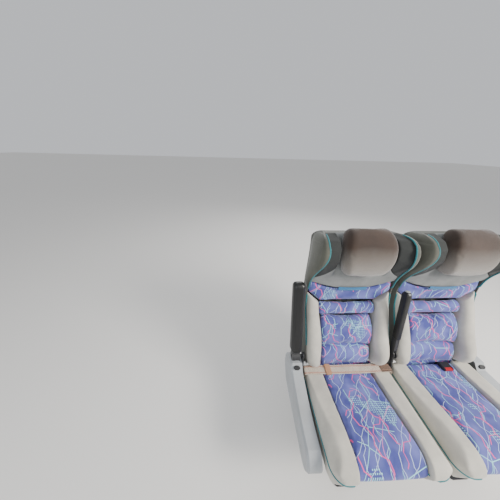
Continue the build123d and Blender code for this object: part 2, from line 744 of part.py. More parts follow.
def make_side_cover(name, turn, top):
    # moulded cover over a side bracket, open to the seat, with the recline button on its upper slope
    low = tube_bottom - 4
    slope_foot = (recline_y - 98, top - 34)
    slope_head = (recline_y - 70, top - 2)
    with BuildPart() as side_cover:
        with BuildSketch(cross_section(turn * cover_x)) as shape:
            with BuildLine():
                top_line = ThreePointArc((-190, cushion_base + cushion_side_height),
                                         (-60, cushion_base + cushion_side_height + 8),
                                         slope_foot)
                Polyline(top_line @ 1, slope_head, (recline_y - 26, top), (recline_y + 36, recline_z + 22),
                         (recline_y + 40, recline_z - 36), (recline_y - 30, low + 8),
                         (recline_y - 90, low), (-190, low))
                ThreePointArc((-190, low), (-238, (low + cushion_base + cushion_side_height) / 2),
                              (-190, cushion_base + cushion_side_height))
            make_face()
        extrude(amount=turn * (cover_width - cover_round))
        with BuildSketch(cross_section(turn * (cover_x + cover_width - cover_round))):
            add(shape.sketch_local)
        extrude(amount=turn * cover_round, taper=40)
        with BuildSketch(cross_section(turn * cover_x)):
            offset(shape.sketch_local, amount=-cover_wall)
        extrude(amount=turn * (cover_width - cover_round), mode=Mode.SUBTRACT)
        with BuildSketch(cross_section(turn * cover_x)):
            offset(shape.sketch_local, amount=-cover_wall - cover_round)
        extrude(amount=turn * (cover_width - cover_wall), mode=Mode.SUBTRACT)
        # posts that stand on the bracket, bored for their screws
        with BuildSketch(cross_section(turn * cover_x)):
            with Locations((front_tube_y, tube_top - 8), (rear_tube_y + 14, tube_top + 10)):
                Circle(post_radius)
        extrude(amount=turn * (cover_width - cover_wall))
        with BuildSketch(cross_section(turn * cover_x)):
            with Locations((front_tube_y, tube_top - 8), (rear_tube_y + 14, tube_top + 10)):
                Circle(post_radius / 3)
        extrude(amount=turn * cover_width / 2, mode=Mode.SUBTRACT)
    keep("side_cover_" + name, side_cover)
    run = slope_head[0] - slope_foot[0]
    rise = slope_head[1] - slope_foot[1]
    middle_y = (slope_foot[0] + slope_head[0]) / 2
    middle_z = (slope_foot[1] + slope_head[1]) / 2
    length = (run ** 2 + rise ** 2) ** 0.5
    normal = (0, -rise / length, run / length)
    face = Plane(origin=(turn * (cover_x + cover_width / 2), middle_y, middle_z), x_dir=(1, 0, 0),
                 z_dir=normal)
    with BuildPart() as button:
        with BuildSketch(face.offset(fit_gap)):
            Ellipse(17, 11)
        extrude(amount=8)
        fillet(button.faces().sort_by(Axis.Y)[0].edges(), 2.5)
    keep("recline_button_" + name, button)


def belt_plane(x):
    # plane just over the sides of a cushion's rear end, tipped up to the back
    tip = radians(belt_tip)
    return Plane(origin=(x, belt_y, belt_z), x_dir=(1, 0, 0), z_dir=(0, -sin(tip), cos(tip)))


def make_lap_belt(name, x):
    # webbing across a seat, both ends down between the cushion and the brackets
    tip = radians(belt_tip)
    front = Plane(origin=(x, belt_y, belt_z), x_dir=(1, 0, 0), z_dir=(0, -cos(tip), -sin(tip)))
    end = cushion_half + moving_gap - fit_gap
    low = cushion_side_height - cushion_rear_height - 40
    with BuildPart() as lap_belt:
        with BuildSketch(front):
            with BuildLine() as path:
                Polyline((-end, low), (-end, -6), (12 - end, 1), (-1.2 * cushion_panel_half, 0),
                         (-0.95 * cushion_panel_half, -belt_sag),
                         (0.95 * cushion_panel_half, -belt_sag), (1.2 * cushion_panel_half, 0),
                         (end - 12, 1), (end, -6), (end, low))
                fillet(path.vertices().sort_by(Axis.X)[2:-2], 7)
                offset(amount=belt_sheet, side=Side.RIGHT)
            make_face()
        extrude(amount=belt_width / 2, both=True)
    keep("lap_belt_" + name, lap_belt)
    with BuildPart() as adjuster:
        with BuildSketch(belt_plane(x)):
            with Locations((adjuster_across, 0)):
                RectangleRounded(adjuster_length, belt_width + 6, 6)
        extrude(amount=adjuster_height, both=True)
        chamfer(adjuster.faces().sort_by(Axis.Z)[-1].edges(), 2)
        with BuildSketch(belt_plane(x).offset(-belt_sag - belt_sheet - fit_gap)):
            with Locations((adjuster_across, 0)):
                Rectangle(2 * adjuster_length, belt_width + 2 * fit_gap)
        extrude(amount=belt_sheet + 2 * fit_gap, mode=Mode.SUBTRACT)
    keep("belt_adjuster_" + name, adjuster)


def make_buckle(name, x):
    # buckle on a short strap that comes up behind the cushion from the rear cross tube
    rear = cushion_rear + fit_gap
    middle_y = cushion_rear - buckle_inset
    tail_y = middle_y + buckle_length / 2 - 12
    tube_rear = rear_tube_y + tube_side / 2 + fit_gap
    over = cushion_base + cushion_rear_height - bolster_step + 2 * fit_gap
    with BuildPart() as strap:
        with BuildSketch(cross_section(x)):
            with BuildLine() as path:
                Polyline((tail_y, over + 3), (tail_y + 14, over + 0.6), (rear, over), (rear, tube_top - 6),
                         (tube_rear, tube_bottom + 14), (tube_rear, tube_bottom + 3))
                offset(amount=belt_sheet, side=Side.LEFT)
            make_face()
        extrude(amount=stalk_width / 2, both=True)
    keep("buckle_strap_" + name, strap)
    face = Plane(origin=(x, middle_y, over + 3 + belt_sheet + fit_gap), x_dir=(1, 0, 0), z_dir=(0, 0, 1))
    with BuildPart() as buckle:
        with BuildSketch(face):
            RectangleRounded(buckle_width, buckle_length, 9)
        extrude(amount=buckle_height)
        fillet(buckle.faces().sort_by(Axis.Z)[-1].edges(), 4)
        with BuildSketch(face.offset(buckle_height / 3)):
            with Locations((0, -buckle_length / 2)):
                Rectangle(buckle_width - 12, 2 * button_length)
        extrude(amount=buckle_height, mode=Mode.SUBTRACT)
    keep("buckle_" + name, buckle)
    with BuildPart() as button:
        with BuildSketch(face.offset(buckle_height / 3 + fit_gap)):
            with Locations((0, (button_length - buckle_length) / 2 - fit_gap)):
                Rectangle(buckle_width - 12 - 2 * fit_gap, button_length)
        extrude(amount=buckle_height / 2)
    keep("buckle_button_" + name, button)


for side, turn in (("aisle", -1), ("window", 1)):
    seat_x = turn * seat_pitch / 2
    make_back_shell(side, seat_x)
    inside = back_block(seat_x, 60, shell_wall + fit_gap)
    make_headrest(side, seat_x, inside)
    make_pillow(side, seat_x)
    make_head_tab(side, seat_x)
    make_pads(side, seat_x, inside)
    make_bolsters(side, seat_x, inside)
    make_back_frame(side, seat_x)
    make_back_pan(side, seat_x)
    make_pocket(side, seat_x)
    make_cushion(side, seat_x)
    make_seat_pan(side, seat_x)
    make_leg(side, turn * bolt_x)

make_cross_tube("front", front_tube_y)
make_cross_tube("rear", rear_tube_y)
make_bracket("aisle", plate_middle - bracket_x, (1,), aisle_arm_y)
make_bracket("centre", 0, (-1, 1), centre_arm_y)
make_bracket("window", bracket_x - plate_middle, (-1,), 0)
make_armrest("aisle", arm_side(-aisle_arm_x, aisle_arm_y, aisle_arm_lean), aisle_arm_length, aisle_pad_foot,
             aisle_pad_width, aisle_core_width)
make_armrest("centre", arm_side(0, centre_arm_y, centre_arm_lean), centre_arm_length, centre_pad_foot,
             centre_pad_width, centre_core_width)
make_side_cover("aisle", -1, arm_z - hub_radius - moving_gap)
make_side_cover("window", 1, foot_z + 8)
make_lap_belt("aisle", -seat_pitch / 2)
make_buckle("window", seat_pitch / 2 + buckle_across)
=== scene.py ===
import bpy
import math
import numpy as np
from mathutils import Matrix, Vector
from mathutils.bvhtree import BVHTree


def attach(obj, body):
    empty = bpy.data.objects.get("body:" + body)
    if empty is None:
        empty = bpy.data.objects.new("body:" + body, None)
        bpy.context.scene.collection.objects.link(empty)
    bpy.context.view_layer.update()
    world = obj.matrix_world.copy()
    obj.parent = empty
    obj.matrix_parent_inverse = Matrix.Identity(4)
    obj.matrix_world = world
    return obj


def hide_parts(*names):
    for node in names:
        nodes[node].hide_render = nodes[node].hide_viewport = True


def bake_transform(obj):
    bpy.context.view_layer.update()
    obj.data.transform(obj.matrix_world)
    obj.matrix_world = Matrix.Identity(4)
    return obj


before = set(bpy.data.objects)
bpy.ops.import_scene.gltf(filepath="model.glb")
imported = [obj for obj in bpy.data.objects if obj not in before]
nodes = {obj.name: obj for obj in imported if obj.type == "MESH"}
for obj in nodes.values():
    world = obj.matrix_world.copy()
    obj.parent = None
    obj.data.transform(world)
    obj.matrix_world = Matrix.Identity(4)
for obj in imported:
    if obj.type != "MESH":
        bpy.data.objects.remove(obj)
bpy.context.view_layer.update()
scene = bpy.context.scene
print("frame loaded,", len(nodes), "nodes")

# where the backs stand, in metres and degrees
backForm = {
    "lean": 14.0, "footY": 0.165, "footZ": 0.4303, "pitch": 0.486,
    "crownV": 0.720, "crownCorner": 0.044, "crownHalf": 0.206,
}
upY = math.sin(math.radians(backForm["lean"]))
upZ = math.cos(math.radians(backForm["lean"]))
seatX = {"aisle": -backForm["pitch"] / 2, "window": backForm["pitch"] / 2}
# front edge of a shell: height up the back, reach forward
edgeLine = [
    (0.008, 0.028), (0.120, 0.022), (0.2095, -0.006), (0.343, -0.030), (0.400, -0.025), (0.462, -0.005),
    (0.535, 0.0559), (0.597, 0.107), (0.653, 0.114), (0.688, 0.0912), (0.711, 0.0296),
]
# half width of a shell: height up the back, distance from its middle
halfLine = [
    (-0.012, 0.208), (0.120, 0.227), (0.343, 0.228), (0.462, 0.226), (0.535, 0.219), (0.613, 0.212),
    (0.730, 0.206),
]


def readLine(line, v):
    # what a line says at height v
    return np.interp(v, [row[0] for row in line], [row[1] for row in line])


def atBack(x, v, w):
    # point on a leaning back: v up the back, w forward of it
    return Vector((x, backForm["footY"] + v * upY - w * upZ, backForm["footZ"] + v * upZ + w * upY))


backAhead = atBack(0, 0, 1) - atBack(0, 0, 0)
backBehind = atBack(0, 0, -1) - atBack(0, 0, 0)
backUp = atBack(0, 1, 0) - atBack(0, 0, 0)

# camera where the photograph was taken from
cameraSpot = {
    "place": (-0.818, -0.538, 1.478), "right": (0.9987, -0.0438, 0.0247), "ahead": (0.0502, 0.8887, -0.4557),
    "lens": 14.62, "sensor": 36, "near": 0.02,
}


def addCamera():
    ahead = Vector(cameraSpot["ahead"]).normalized()
    right = Vector(cameraSpot["right"])
    right = (right - ahead * right.dot(ahead)).normalized()
    up = right.cross(ahead)
    camera = bpy.data.objects.new("camera", bpy.data.cameras.new("camera"))
    camera.data.sensor_width = cameraSpot["sensor"]
    camera.data.lens = cameraSpot["lens"]
    camera.data.clip_start = cameraSpot["near"]
    turned = Matrix((right, up, -ahead)).transposed().to_4x4()
    camera.matrix_world = Matrix.Translation(cameraSpot["place"]) @ turned
    scene.collection.objects.link(camera)
    scene.camera = camera


addCamera()
print("camera placed")


# materials; a noise is given by scale, detail and roughness, patches also by the noise's low and high,
# a bump by distance and strength


def addNode(tree, kind, inputs=None, **settings):
    made = tree.nodes.new("ShaderNode" + kind)
    for key, value in settings.items():
        setattr(made, key, value)
    for key, value in (inputs or {}).items():
        if isinstance(value, bpy.types.NodeSocket):
            tree.links.new(value, made.inputs[key])
        else:
            made.inputs[key].default_value = value
    return made


def maths(operation, a, b=0.0, c=0.0):
    # a is a socket, which knows its tree
    return addNode(a.id_data, "Math", {0: a, 1: b, 2: c}, operation=operation).outputs[0]


def times(a, b):
    return maths("MULTIPLY", a, b)


def plus(a, b):
    return maths("ADD", a, b)


def ripples(value, length):
    # waves that follow value, each of one length
    return maths("SINE", times(value, 2 * math.pi / length))


def mixed(share, a, b):
    return addNode(share.id_data, "Mix", {0: share, 6: a, 7: b}, data_type="RGBA").outputs[2]


def colour(r, g, b):
    # colour from screen values 0 to 255
    return tuple(((c / 255 + 0.055) / 1.055) ** 2.4 if c > 10 else c / 3295 for c in (r, g, b)) + (1.0,)


def dimmed(tint, share):
    return tuple(c * share for c in tint[:3]) + (1.0,)


def noiseAt(place, scale, detail, roughness=0.5):
    inputs = {"Vector": place, "Scale": scale, "Detail": detail, "Roughness": roughness}
    return addNode(place.id_data, "TexNoise", inputs).outputs["Fac"]


def between(value, low, high):
    # value from low to high becomes 0 to 1
    inputs = {"Value": value, "From Min": low, "From Max": high}
    return addNode(value.id_data, "MapRange", inputs).outputs[0]


def patches(place, scale, detail, roughness, low, high):
    return between(noiseAt(place, scale, detail, roughness), low, high)


def objectPlace(tree):
    return addNode(tree, "TexCoord").outputs["Object"]


def readAttribute(tree, name, output="Vector"):
    return addNode(tree, "Attribute", attribute_name=name).outputs[output]


def splitPlace(place):
    return addNode(place.id_data, "SeparateXYZ", {0: place}).outputs


def newMaterial(name, roughness=0.5, sheen=0.0, sheenColour=None, coat=0.0, metallic=0.0):
    material = bpy.data.materials.new(name)
    material.use_nodes = True
    tree = material.node_tree
    shader = tree.nodes["Principled BSDF"]
    shader.inputs["Roughness"].default_value = roughness
    shader.inputs["Metallic"].default_value = metallic
    shader.inputs["Sheen Weight"].default_value = sheen
    shader.inputs["Sheen Roughness"].default_value = 0.4
    if sheenColour:
        shader.inputs["Sheen Tint"].default_value = sheenColour
    shader.inputs["Coat Weight"].default_value = coat
    return material, tree, shader


def giveSkin(tree, shader, skin, height, distance, strength):
    bump = addNode(tree, "Bump", {"Height": height, "Distance": distance, "Strength": strength})
    tree.links.new(bump.outputs[0], shader.inputs["Normal"])
    tree.links.new(skin, shader.inputs["Base Color"])


# moquette: woven pile with jogged lines, borders of cells, arcs and patches of dots
moquetteLook = {
    "roughness": 0.86, "sheen": 0.3, "sheenColour": (0.75, 0.78, 1.0, 1.0),
    "ground": colour(112, 118, 190), "groundDark": colour(62, 68, 146), "dust": colour(120, 124, 176),
    "pale": colour(196, 214, 244), "cyan": colour(160, 230, 238),
    "pink": colour(240, 84, 150), "rose": colour(216, 122, 190),
    "shade": (11.0, 2.0, 0.5, 0.38, 0.66), "grain": (900.0, 2.0, 0.7), "grainShare": 0.2,
    "row": 0.0016, "rowShare": 0.35, "bump": (0.0005, 0.7), "cellSpread": 0.9, "patchEdge": 0.01,
    # part of a run where a jogged line steps aside
    "step": (0.32, 0.68),
    # kind and its sizes, then the patches it shows in: scale, shift, how rare, and its colour
    "lines": (
        ("jogged", (0.046, 0.0024, 0.052, 0.9, 0.0, 0.0), (7.0, (0.4, 2.2, 0.0), 0.42), "pale"),
        ("jogged", (0.046, 0.0022, 0.052, 0.9, 0.011, 0.0), (7.0, (3.4, 7.2, 0.0), 0.52), "cyan"),
        ("jogged", (0.083, 0.0024, 0.071, 0.3, 0.02, 0.85), (6.0, (9.4, 1.2, 0.0), 0.45), "pale"),
        ("bent", (9.0, (1.3, 0.2, 0.0), 0.0024), (7.0, (5.0, 1.0, 0.0), 0.5), "cyan"),
        ("arcs", (4.2, 4.0, (7.7, 3.1, 0.0), 0.016), (6.0, (2.0, 9.0, 0.0), 0.5), "rose"),
        ("jogged", (0.094, 0.0048, 0.055, -1.0, 0.01, -0.4), (6.5, (4.0, 6.0, 0.0), 0.45), "pink"),
        ("jogged", (0.128, 0.0040, 0.062, 1.2, 0.03, 0.7), (6.5, (8.0, 4.0, 0.0), 0.52), "pink"),
        ("dots", (0.0086, 0.46), (9.0, (6.0, 3.5, 0.0), 0.66), "cyan"),
    ),
}


def makeMoquette(name):
    look = moquetteLook
    material, tree, shader = newMaterial(name, look["roughness"], look["sheen"], look["sheenColour"])
    place = readAttribute(tree, "clothPlace")
    split = splitPlace(place)
    across, along = split[0], split[1]

    def shifted(shift):
        return addNode(tree, "VectorMath", {0: place, 1: shift}, operation="ADD").outputs[0]

    def patch(scale, shift, low):
        return between(noiseAt(shifted(shift), scale, 0.0), low, low + look["patchEdge"])

    def middleOf(value, half):
        # a line in the middle of each whole step of value
        aside = maths("SUBTRACT", maths("FRACT", value), 0.5)
        return maths("LESS_THAN", maths("ABSOLUTE", aside), half)

    def bent(scale, shift, width):
        # borders between straight-sided cells, as lines of one width
        inputs = {"Vector": shifted(shift), "Scale": scale, "Randomness": look["cellSpread"]}
        settings = {"voronoi_dimensions": "2D", "feature": "DISTANCE_TO_EDGE"}
        cells = addNode(tree, "TexVoronoi", inputs, **settings)
        return maths("LESS_THAN", cells.outputs["Distance"], width * scale / 2)

    def jogged(pitch, width, run, slope, lead, turn):
        # parallel lines that run straight, step aside at an angle and run on
        over = plus(along, times(across, turn))
        aside = maths("SUBTRACT", across, times(along, turn))
        low, high = look["step"]
        wave = maths("PINGPONG", plus(over, lead), run)
        wave = maths("MINIMUM", maths("MAXIMUM", wave, run * low), run * high)
        moved = plus(aside, times(wave, slope))
        return middleOf(maths("DIVIDE", moved, pitch), width / pitch / 2)

    def arcs(scale, count, shift, width):
        # a few contour lines of a slow noise
        return middleOf(times(noiseAt(shifted(shift), scale, 0.0), count), width)

    def dots(pitch, share):
        steps = [maths("FRACT", maths("DIVIDE", value, pitch)) for value in (across, along)]
        return times(*[maths("LESS_THAN", step, share) for step in steps])

    kinds = {"bent": bent, "jogged": jogged, "arcs": arcs, "dots": dots}
    cloth = mixed(patches(place, *look["shade"]), look["groundDark"], look["ground"])
    for kind, sizes, mask, ink in look["lines"]:
        cloth = mixed(times(kinds[kind](*sizes), patch(*mask)), cloth, look[ink])
    grain = noiseAt(place, *look["grain"])
    cloth = mixed(times(grain, look["grainShare"]), cloth, look["dust"])
    rows = times(ripples(along, look["row"]), look["rowShare"])
    giveSkin(tree, shader, cloth, plus(rows, grain), *look["bump"])
    return material


# velour, cord and net: short pile brushed in soft patches
pileLook = {
    "roughness": 0.88, "brushed": (9.0, 4.0, 0.62), "brushedRange": (0.3, 0.7), "fine": (1400.0, 1.0, 0.5),
    "stains": (3.2, 5.0, 0.7, 0.56, 0.78), "stainShare": 0.5, "seamRange": (0.46, 0.54), "uneven": 0.05,
    "speckShare": 0.3, "speckDim": 0.6, "weaveRange": (-1.6, 1.8), "bump": (0.0004, 0.6),
}


def makePile(name, light, dark, sheen, ribs=0.0, stain=None, panel=None, foot=None):
    # ribs is the width of woven ribs; panel is painted shade, a darker colour laid on the wings;
    # foot is painted light, the colour, low and high of a lighter lower part
    look = pileLook
    material, tree, shader = newMaterial(name, look["roughness"], sheen)
    place = objectPlace(tree)
    brushed = noiseAt(place, *look["brushed"])
    fine = noiseAt(place, *look["fine"])
    cloth = mixed(between(brushed, *look["brushedRange"]), dark, light)
    if stain:
        spots = patches(place, *look["stains"])
        cloth = mixed(times(spots, look["stainShare"]), cloth, stain)
    if panel:
        # painted shade: the wings' inner faces are darkened
        wing = readAttribute(tree, "wingShadeShare", "Fac")
        cloth = mixed(between(wing, *look["seamRange"]), cloth, panel)
    # painted light: the pillow's lower part is lighter, where light falls on it
    if foot:
        wornAndLit, low, high = foot
        level = plus(splitPlace(place)[2], times(brushed, look["uneven"]))
        lift = look["uneven"] / 2
        cloth = mixed(between(level, high + lift, low + lift), cloth, wornAndLit)
    cloth = mixed(times(fine, look["speckShare"]), cloth, dimmed(dark, look["speckDim"]))
    height = fine
    if ribs:
        split = splitPlace(place)
        weave = times(ripples(split[0], ribs), ripples(split[2], ribs))
        cloth = mixed(between(weave, *look["weaveRange"]), cloth, dark)
        height = plus(fine, weave)
    giveSkin(tree, shader, cloth, height, *look["bump"])
    return material


# moulded surface: leather-like grain, faint scuffs and dust
plasticLook = {
    "cloud": (6.0, 5.0, 0.65), "cloudRange": (0.35, 0.8), "cloudRough": 0.25, "smoother": 0.12,
    "scratch": (5.0, 3.0, 0.6, 0.6, 0.72), "stretch": (4.0, 60.0, 9.0), "scratchShare": 0.35,
    "bump": (0.00025, 0.5),
}


def makePlastic(name, base, wornAndLit, roughness=0.5, grain=700.0, coat=0.0):
    look = plasticLook
    material, tree, shader = newMaterial(name, roughness, coat=coat)
    place = objectPlace(tree)
    cells = addNode(tree, "TexVoronoi", {"Vector": place, "Scale": grain}).outputs["Distance"]
    cloud = noiseAt(place, *look["cloud"])
    stretched = addNode(tree, "Mapping", {0: place, 3: look["stretch"]}).outputs[0]
    scratch = patches(stretched, *look["scratch"])
    skin = mixed(between(cloud, *look["cloudRange"]), base, wornAndLit)
    skin = mixed(times(scratch, look["scratchShare"]), skin, wornAndLit)
    rough = plus(times(cloud, look["cloudRough"]), roughness - look["smoother"])
    tree.links.new(rough, shader.inputs["Roughness"])
    giveSkin(tree, shader, skin, cells, *look["bump"])
    return material


# powder coat or plate: fine orange peel, rubbed patches
steelLook = {
    "peel": (420.0, 1.0, 0.5), "rubbed": (11.0, 6.0, 0.72, 0.6, 0.74), "rubbedShare": 0.6,
    "roughRange": (-0.6, 2.4), "bump": (0.00012, 0.5),
}


def makeSteel(name, base, wornAndLit, metallic=0.0):
    look = steelLook
    material, tree, shader = newMaterial(name, metallic=metallic)
    place = objectPlace(tree)
    peel = noiseAt(place, *look["peel"])
    rubbed = patches(place, *look["rubbed"])
    skin = mixed(times(rubbed, look["rubbedShare"]), base, wornAndLit)
    rough = between(plus(rubbed, peel), *look["roughRange"])
    tree.links.new(rough, shader.inputs["Roughness"])
    giveSkin(tree, shader, skin, peel, *look["bump"])
    return material


# belt webbing: ribs across, coloured lines by the edges, laid by the strap's own attribute
webbingLook = {
    "roughness": 0.62, "sheen": 0.2, "soil": (30.0, 4.0, 0.6, 0.4, 0.8), "soilDim": 0.72, "rib": 0.0016,
    "twill": 0.0012, "twillSlope": 0.5, "twillRange": (2.0, -3.0), "groove": (0.02, 0.015, 0.01, 1.0),
    "bump": (0.0003, 0.6),
    # distance from the middle and half width of a line
    "outerLine": (0.0165, 0.0012), "innerLine": (0.0125, 0.0008),
}


def makeWebbing(name, base, edge, stripe):
    look = webbingLook
    material, tree, shader = newMaterial(name, look["roughness"], look["sheen"])
    lay = readAttribute(tree, "strapLay")
    split = splitPlace(lay)
    along, side = split[0], split[1]
    offCentre = maths("ABSOLUTE", side)
    cloth = mixed(patches(lay, *look["soil"]), base, dimmed(base, look["soilDim"]))
    cloth = mixed(maths("COMPARE", offCentre, *look["outerLine"]), cloth, edge)
    cloth = mixed(maths("COMPARE", offCentre, *look["innerLine"]), cloth, stripe)
    twill = ripples(plus(side, times(along, look["twillSlope"])), look["twill"])
    cloth = mixed(between(twill, *look["twillRange"]), cloth, look["groove"])
    giveSkin(tree, shader, cloth, plus(ripples(along, look["rib"]), twill), *look["bump"])
    return material


finishes = {
    "moquette": makeMoquette("moquette"),
    "velour": makePile("creamVelour", colour(216, 211, 198), colour(186, 182, 172), 0.4,
                       stain=colour(172, 162, 146)),
    # painted shade: the head part's velour is the cream velour again, made grey as if in shade
    "shadedHeadVelour": makePile("shadedHeadVelour", colour(150, 152, 150), colour(122, 125, 124), 0.06,
                           panel=colour(15, 19, 18)),
    # the side panels' own olive velour, darkened further as painted shade
    "shadedSideVelour": makePile("shadedSideVelour", colour(98, 98, 87), colour(76, 77, 69), 0.4),
    # the pillow's light foot is painted light
    "pillow": makePile("pillowVelour", colour(86, 66, 54), colour(52, 40, 33), 0.5, ribs=0.0034,
                       stain=colour(126, 106, 92), foot=(colour(196, 190, 180), 0.985, 1.105)),
    "tealCord": makePile("tealCord", colour(70, 162, 166), colour(34, 110, 118), 0.3, ribs=0.002),
    "tealTab": makePile("tealTab", colour(52, 142, 190), colour(30, 106, 156), 0.35, ribs=0.0018),
    "shell": makePlastic("shellGrain", colour(82, 84, 78), colour(98, 99, 92), 0.6),
    "cover": makePlastic("coverGrain", colour(176, 180, 184), colour(158, 160, 160), 0.48),
    "trim": makePlastic("blackTrim", colour(30, 30, 32), colour(46, 46, 47), 0.42),
    "armSkin": makePlastic("armSkin", colour(12, 13, 13), colour(28, 28, 28), 0.42, 900.0, 0.1),
    "armCore": makePlastic("armCore", colour(44, 45, 47), colour(60, 60, 61)),
    "frame": makeSteel("powderCoat", colour(40, 41, 44), colour(84, 84, 86)),
    "bolt": makeSteel("zincBolt", colour(176, 176, 172), colour(120, 112, 98), 1.0),
    "lapWebbing": makeWebbing("lapWebbing", colour(252, 236, 216), colour(218, 118, 78),
                              colour(238, 158, 138)),
    # painted shade: the belt's tail is the lap webbing again, darker where it runs down into shade
    "shadedTailWebbing": makeWebbing("shadedTailWebbing", colour(142, 110, 92), colour(92, 64, 50),
                               colour(206, 160, 130)),
    "brownSlide": makePlastic("brownSlide", colour(166, 118, 86), colour(206, 166, 132), 0.45),
    "darkWebbing": makeWebbing("darkWebbing", colour(42, 40, 40), colour(60, 54, 50), colour(52, 48, 46)),
    "redButton": makePlastic("redButton", colour(190, 24, 34), colour(150, 30, 36), 0.38),
    "net": makePile("pocketNet", colour(52, 53, 56), colour(32, 33, 36), 0.2, ribs=0.0012),
}


def paint(piece, finish):
    piece.data.materials.clear()
    piece.data.materials.append(finishes[finish])


# start of a CAD node's name, its finish
nodeFinishes = {
    "back_shell": "shell", "back_frame": "frame", "back_pan": "frame", "pocket_frame": "trim",
    "pocket_net": "net", "seat_pan": "frame", "leg": "frame", "cross_tube": "frame", "bracket": "frame",
    "arm_core": "armCore", "side_cover": "cover", "recline_button": "trim", "belt_adjuster": "brownSlide",
    "buckle_strap": "darkWebbing", "buckle_button": "redButton", "buckle_window": "trim",
    "lap_belt": "lapWebbing", "head_tab": "tealTab",
}
for name, node in nodes.items():
    for start, finish in nodeFinishes.items():
        if name.startswith(start):
            paint(node, finish)
print("materials made")


# tools for meshes

mergeGap = 0.00002
# keeps a division away from zero
tiny = 1e-9


def deselect():
    bpy.ops.object.select_all(action="DESELECT")


def onlySelect(piece):
    deselect()
    piece.select_set(True)
    bpy.context.view_layer.objects.active = piece


def smoothShade(piece):
    onlySelect(piece)
    bpy.ops.object.shade_smooth()


def applyModifiers(piece):
    onlySelect(piece)
    for modifier in list(piece.modifiers):
        bpy.ops.object.modifier_apply(modifier=modifier.name)


def addModifier(piece, kind, **settings):
    modifier = piece.modifiers.new(kind.lower(), kind)
    for key, value in settings.items():
        setattr(modifier, key, value)
    return modifier


def readPoints(piece, what):
    flat = np.empty(len(piece.data.vertices) * 3)
    piece.data.vertices.foreach_get(what, flat)
    return flat.reshape(-1, 3)


def places(piece):
    return readPoints(piece, "co")


def normalsOf(piece):
    return readPoints(piece, "normal")


def setPlaces(piece, values):
    piece.data.vertices.foreach_set("co", values.ravel())
    piece.data.update()


def backPlaces(piece):
    # points of an aisle piece: across from the seat's middle, up the back, forward of it
    x, y, z = places(piece).T
    y, z = y - backForm["footY"], z - backForm["footZ"]
    return x - seatX["aisle"], y * upY + z * upZ, -y * upZ + z * upY


def moveAtBack(piece, up, ahead):
    # points move up along the back and ahead of it
    spots = places(piece)
    spots[:, 1] += up * upY - ahead * upZ
    spots[:, 2] += up * upZ + ahead * upY
    setPlaces(piece, spots)


def faceOutwards(piece, merge=0.0):
    # faces point outwards, after points nearer than merge are joined
    onlySelect(piece)
    bpy.ops.object.mode_set(mode="EDIT")
    bpy.ops.mesh.select_all(action="SELECT")
    if merge:
        bpy.ops.mesh.remove_doubles(threshold=merge)
    bpy.ops.mesh.normals_make_consistent(inside=False)
    bpy.ops.object.mode_set(mode="OBJECT")


def copyOfNode(nodeName, name):
    # a merged copy of a CAD node, to be worked into a soft piece
    piece = bpy.data.objects.new(name, nodes[nodeName].data.copy())
    scene.collection.objects.link(piece)
    piece.data.materials.clear()
    faceOutwards(piece, mergeGap)
    return piece


def shiftedCopy(piece, name):
    # the window seat's copy of an aisle piece
    copy = bpy.data.objects.new(name, piece.data.copy())
    copy.data.transform(Matrix.Translation((backForm["pitch"], 0, 0)))
    scene.collection.objects.link(copy)
    return copy


def treeOf(piece):
    # a mesh's faces, for rays
    data = piece.data
    return BVHTree.FromPolygons([v.co.copy() for v in data.vertices], [p.vertices[:] for p in data.polygons])


def evenMesh(piece, voxel, smooth):
    # even mesh with its edges eased
    addModifier(piece, "REMESH", mode="VOXEL", voxel_size=voxel)
    addModifier(piece, "SMOOTH", factor=0.5, iterations=smooth)
    applyModifiers(piece)


clothForm = {
    "quality": 4, "mass": 0.25, "use_pressure": True,
    "tension_stiffness": 12, "compression_stiffness": 12, "bending_stiffness": 1.5,
}
swellForm = {"steps": 20, "quickShare": 0.8}


def swell(piece, pressure, cap, shrink):
    # start a little smaller, then let cloth fill out; no point moves further than cap
    start = places(piece) - normalsOf(piece) * shrink
    setPlaces(piece, start)
    cloth = addModifier(piece, "CLOTH")
    for key, value in clothForm.items():
        setattr(cloth.settings, key, value)
    cloth.settings.uniform_pressure_force = pressure
    cloth.settings.effector_weights.gravity = 0
    for step in range(1, swellForm["steps"] + 1):
        scene.frame_set(step)
    filled = piece.evaluated_get(bpy.context.evaluated_depsgraph_get())
    move = places(filled) - start
    length = np.linalg.norm(move, axis=1, keepdims=True)
    piece.modifiers.remove(cloth)
    scene.frame_set(1)
    setPlaces(piece, start + move * np.minimum(1, cap / np.maximum(length, tiny)))


def refine(piece):
    addModifier(piece, "SUBSURF", levels=1, render_levels=1)
    applyModifiers(piece)
    smoothShade(piece)


def eased(share):
    # 0 to 1 with a soft start and end
    return share * share * (3 - 2 * share)


def pressSeam(piece, gap, width, depth):
    # a sewn line: points near it sink by up to depth; gap is each point's distance from it
    share = eased(np.clip(1 - np.abs(gap) / width, 0, 1))
    setPlaces(piece, places(piece) - normalsOf(piece) * (share * depth)[:, None])


def giveAttribute(piece, name, values):
    # a number or a vector at each point, for the piece's material
    kind, key = ("FLOAT", "value") if values.ndim == 1 else ("FLOAT_VECTOR", "vector")
    data = piece.data.attributes.new(name, kind, "POINT").data
    data.foreach_set(key, values.ravel().astype(np.float32))


def giveClothPlace(piece, along, across):
    # where the moquette's pattern lies on a cover
    giveAttribute(piece, "clothPlace", np.stack([across, along, np.zeros(len(along))], 1))


def giveSecondPlace(piece, shift):
    # another cut of the same cloth
    data = piece.data.attributes["clothPlace"].data
    flat = np.empty(len(piece.data.vertices) * 3, np.float32)
    data.foreach_get("vector", flat)
    flat = flat.reshape(-1, 3) + np.array((shift, shift * 0.6, 0), np.float32)
    data.foreach_set("vector", flat.ravel())


def newGrid(name, columns, rows, size, turn=0.0):
    deselect()
    turned = (0, 0, turn)
    bpy.ops.mesh.primitive_grid_add(x_subdivisions=columns, y_subdivisions=rows, size=size, rotation=turned)
    grid = bpy.context.object
    grid.name = name
    return grid


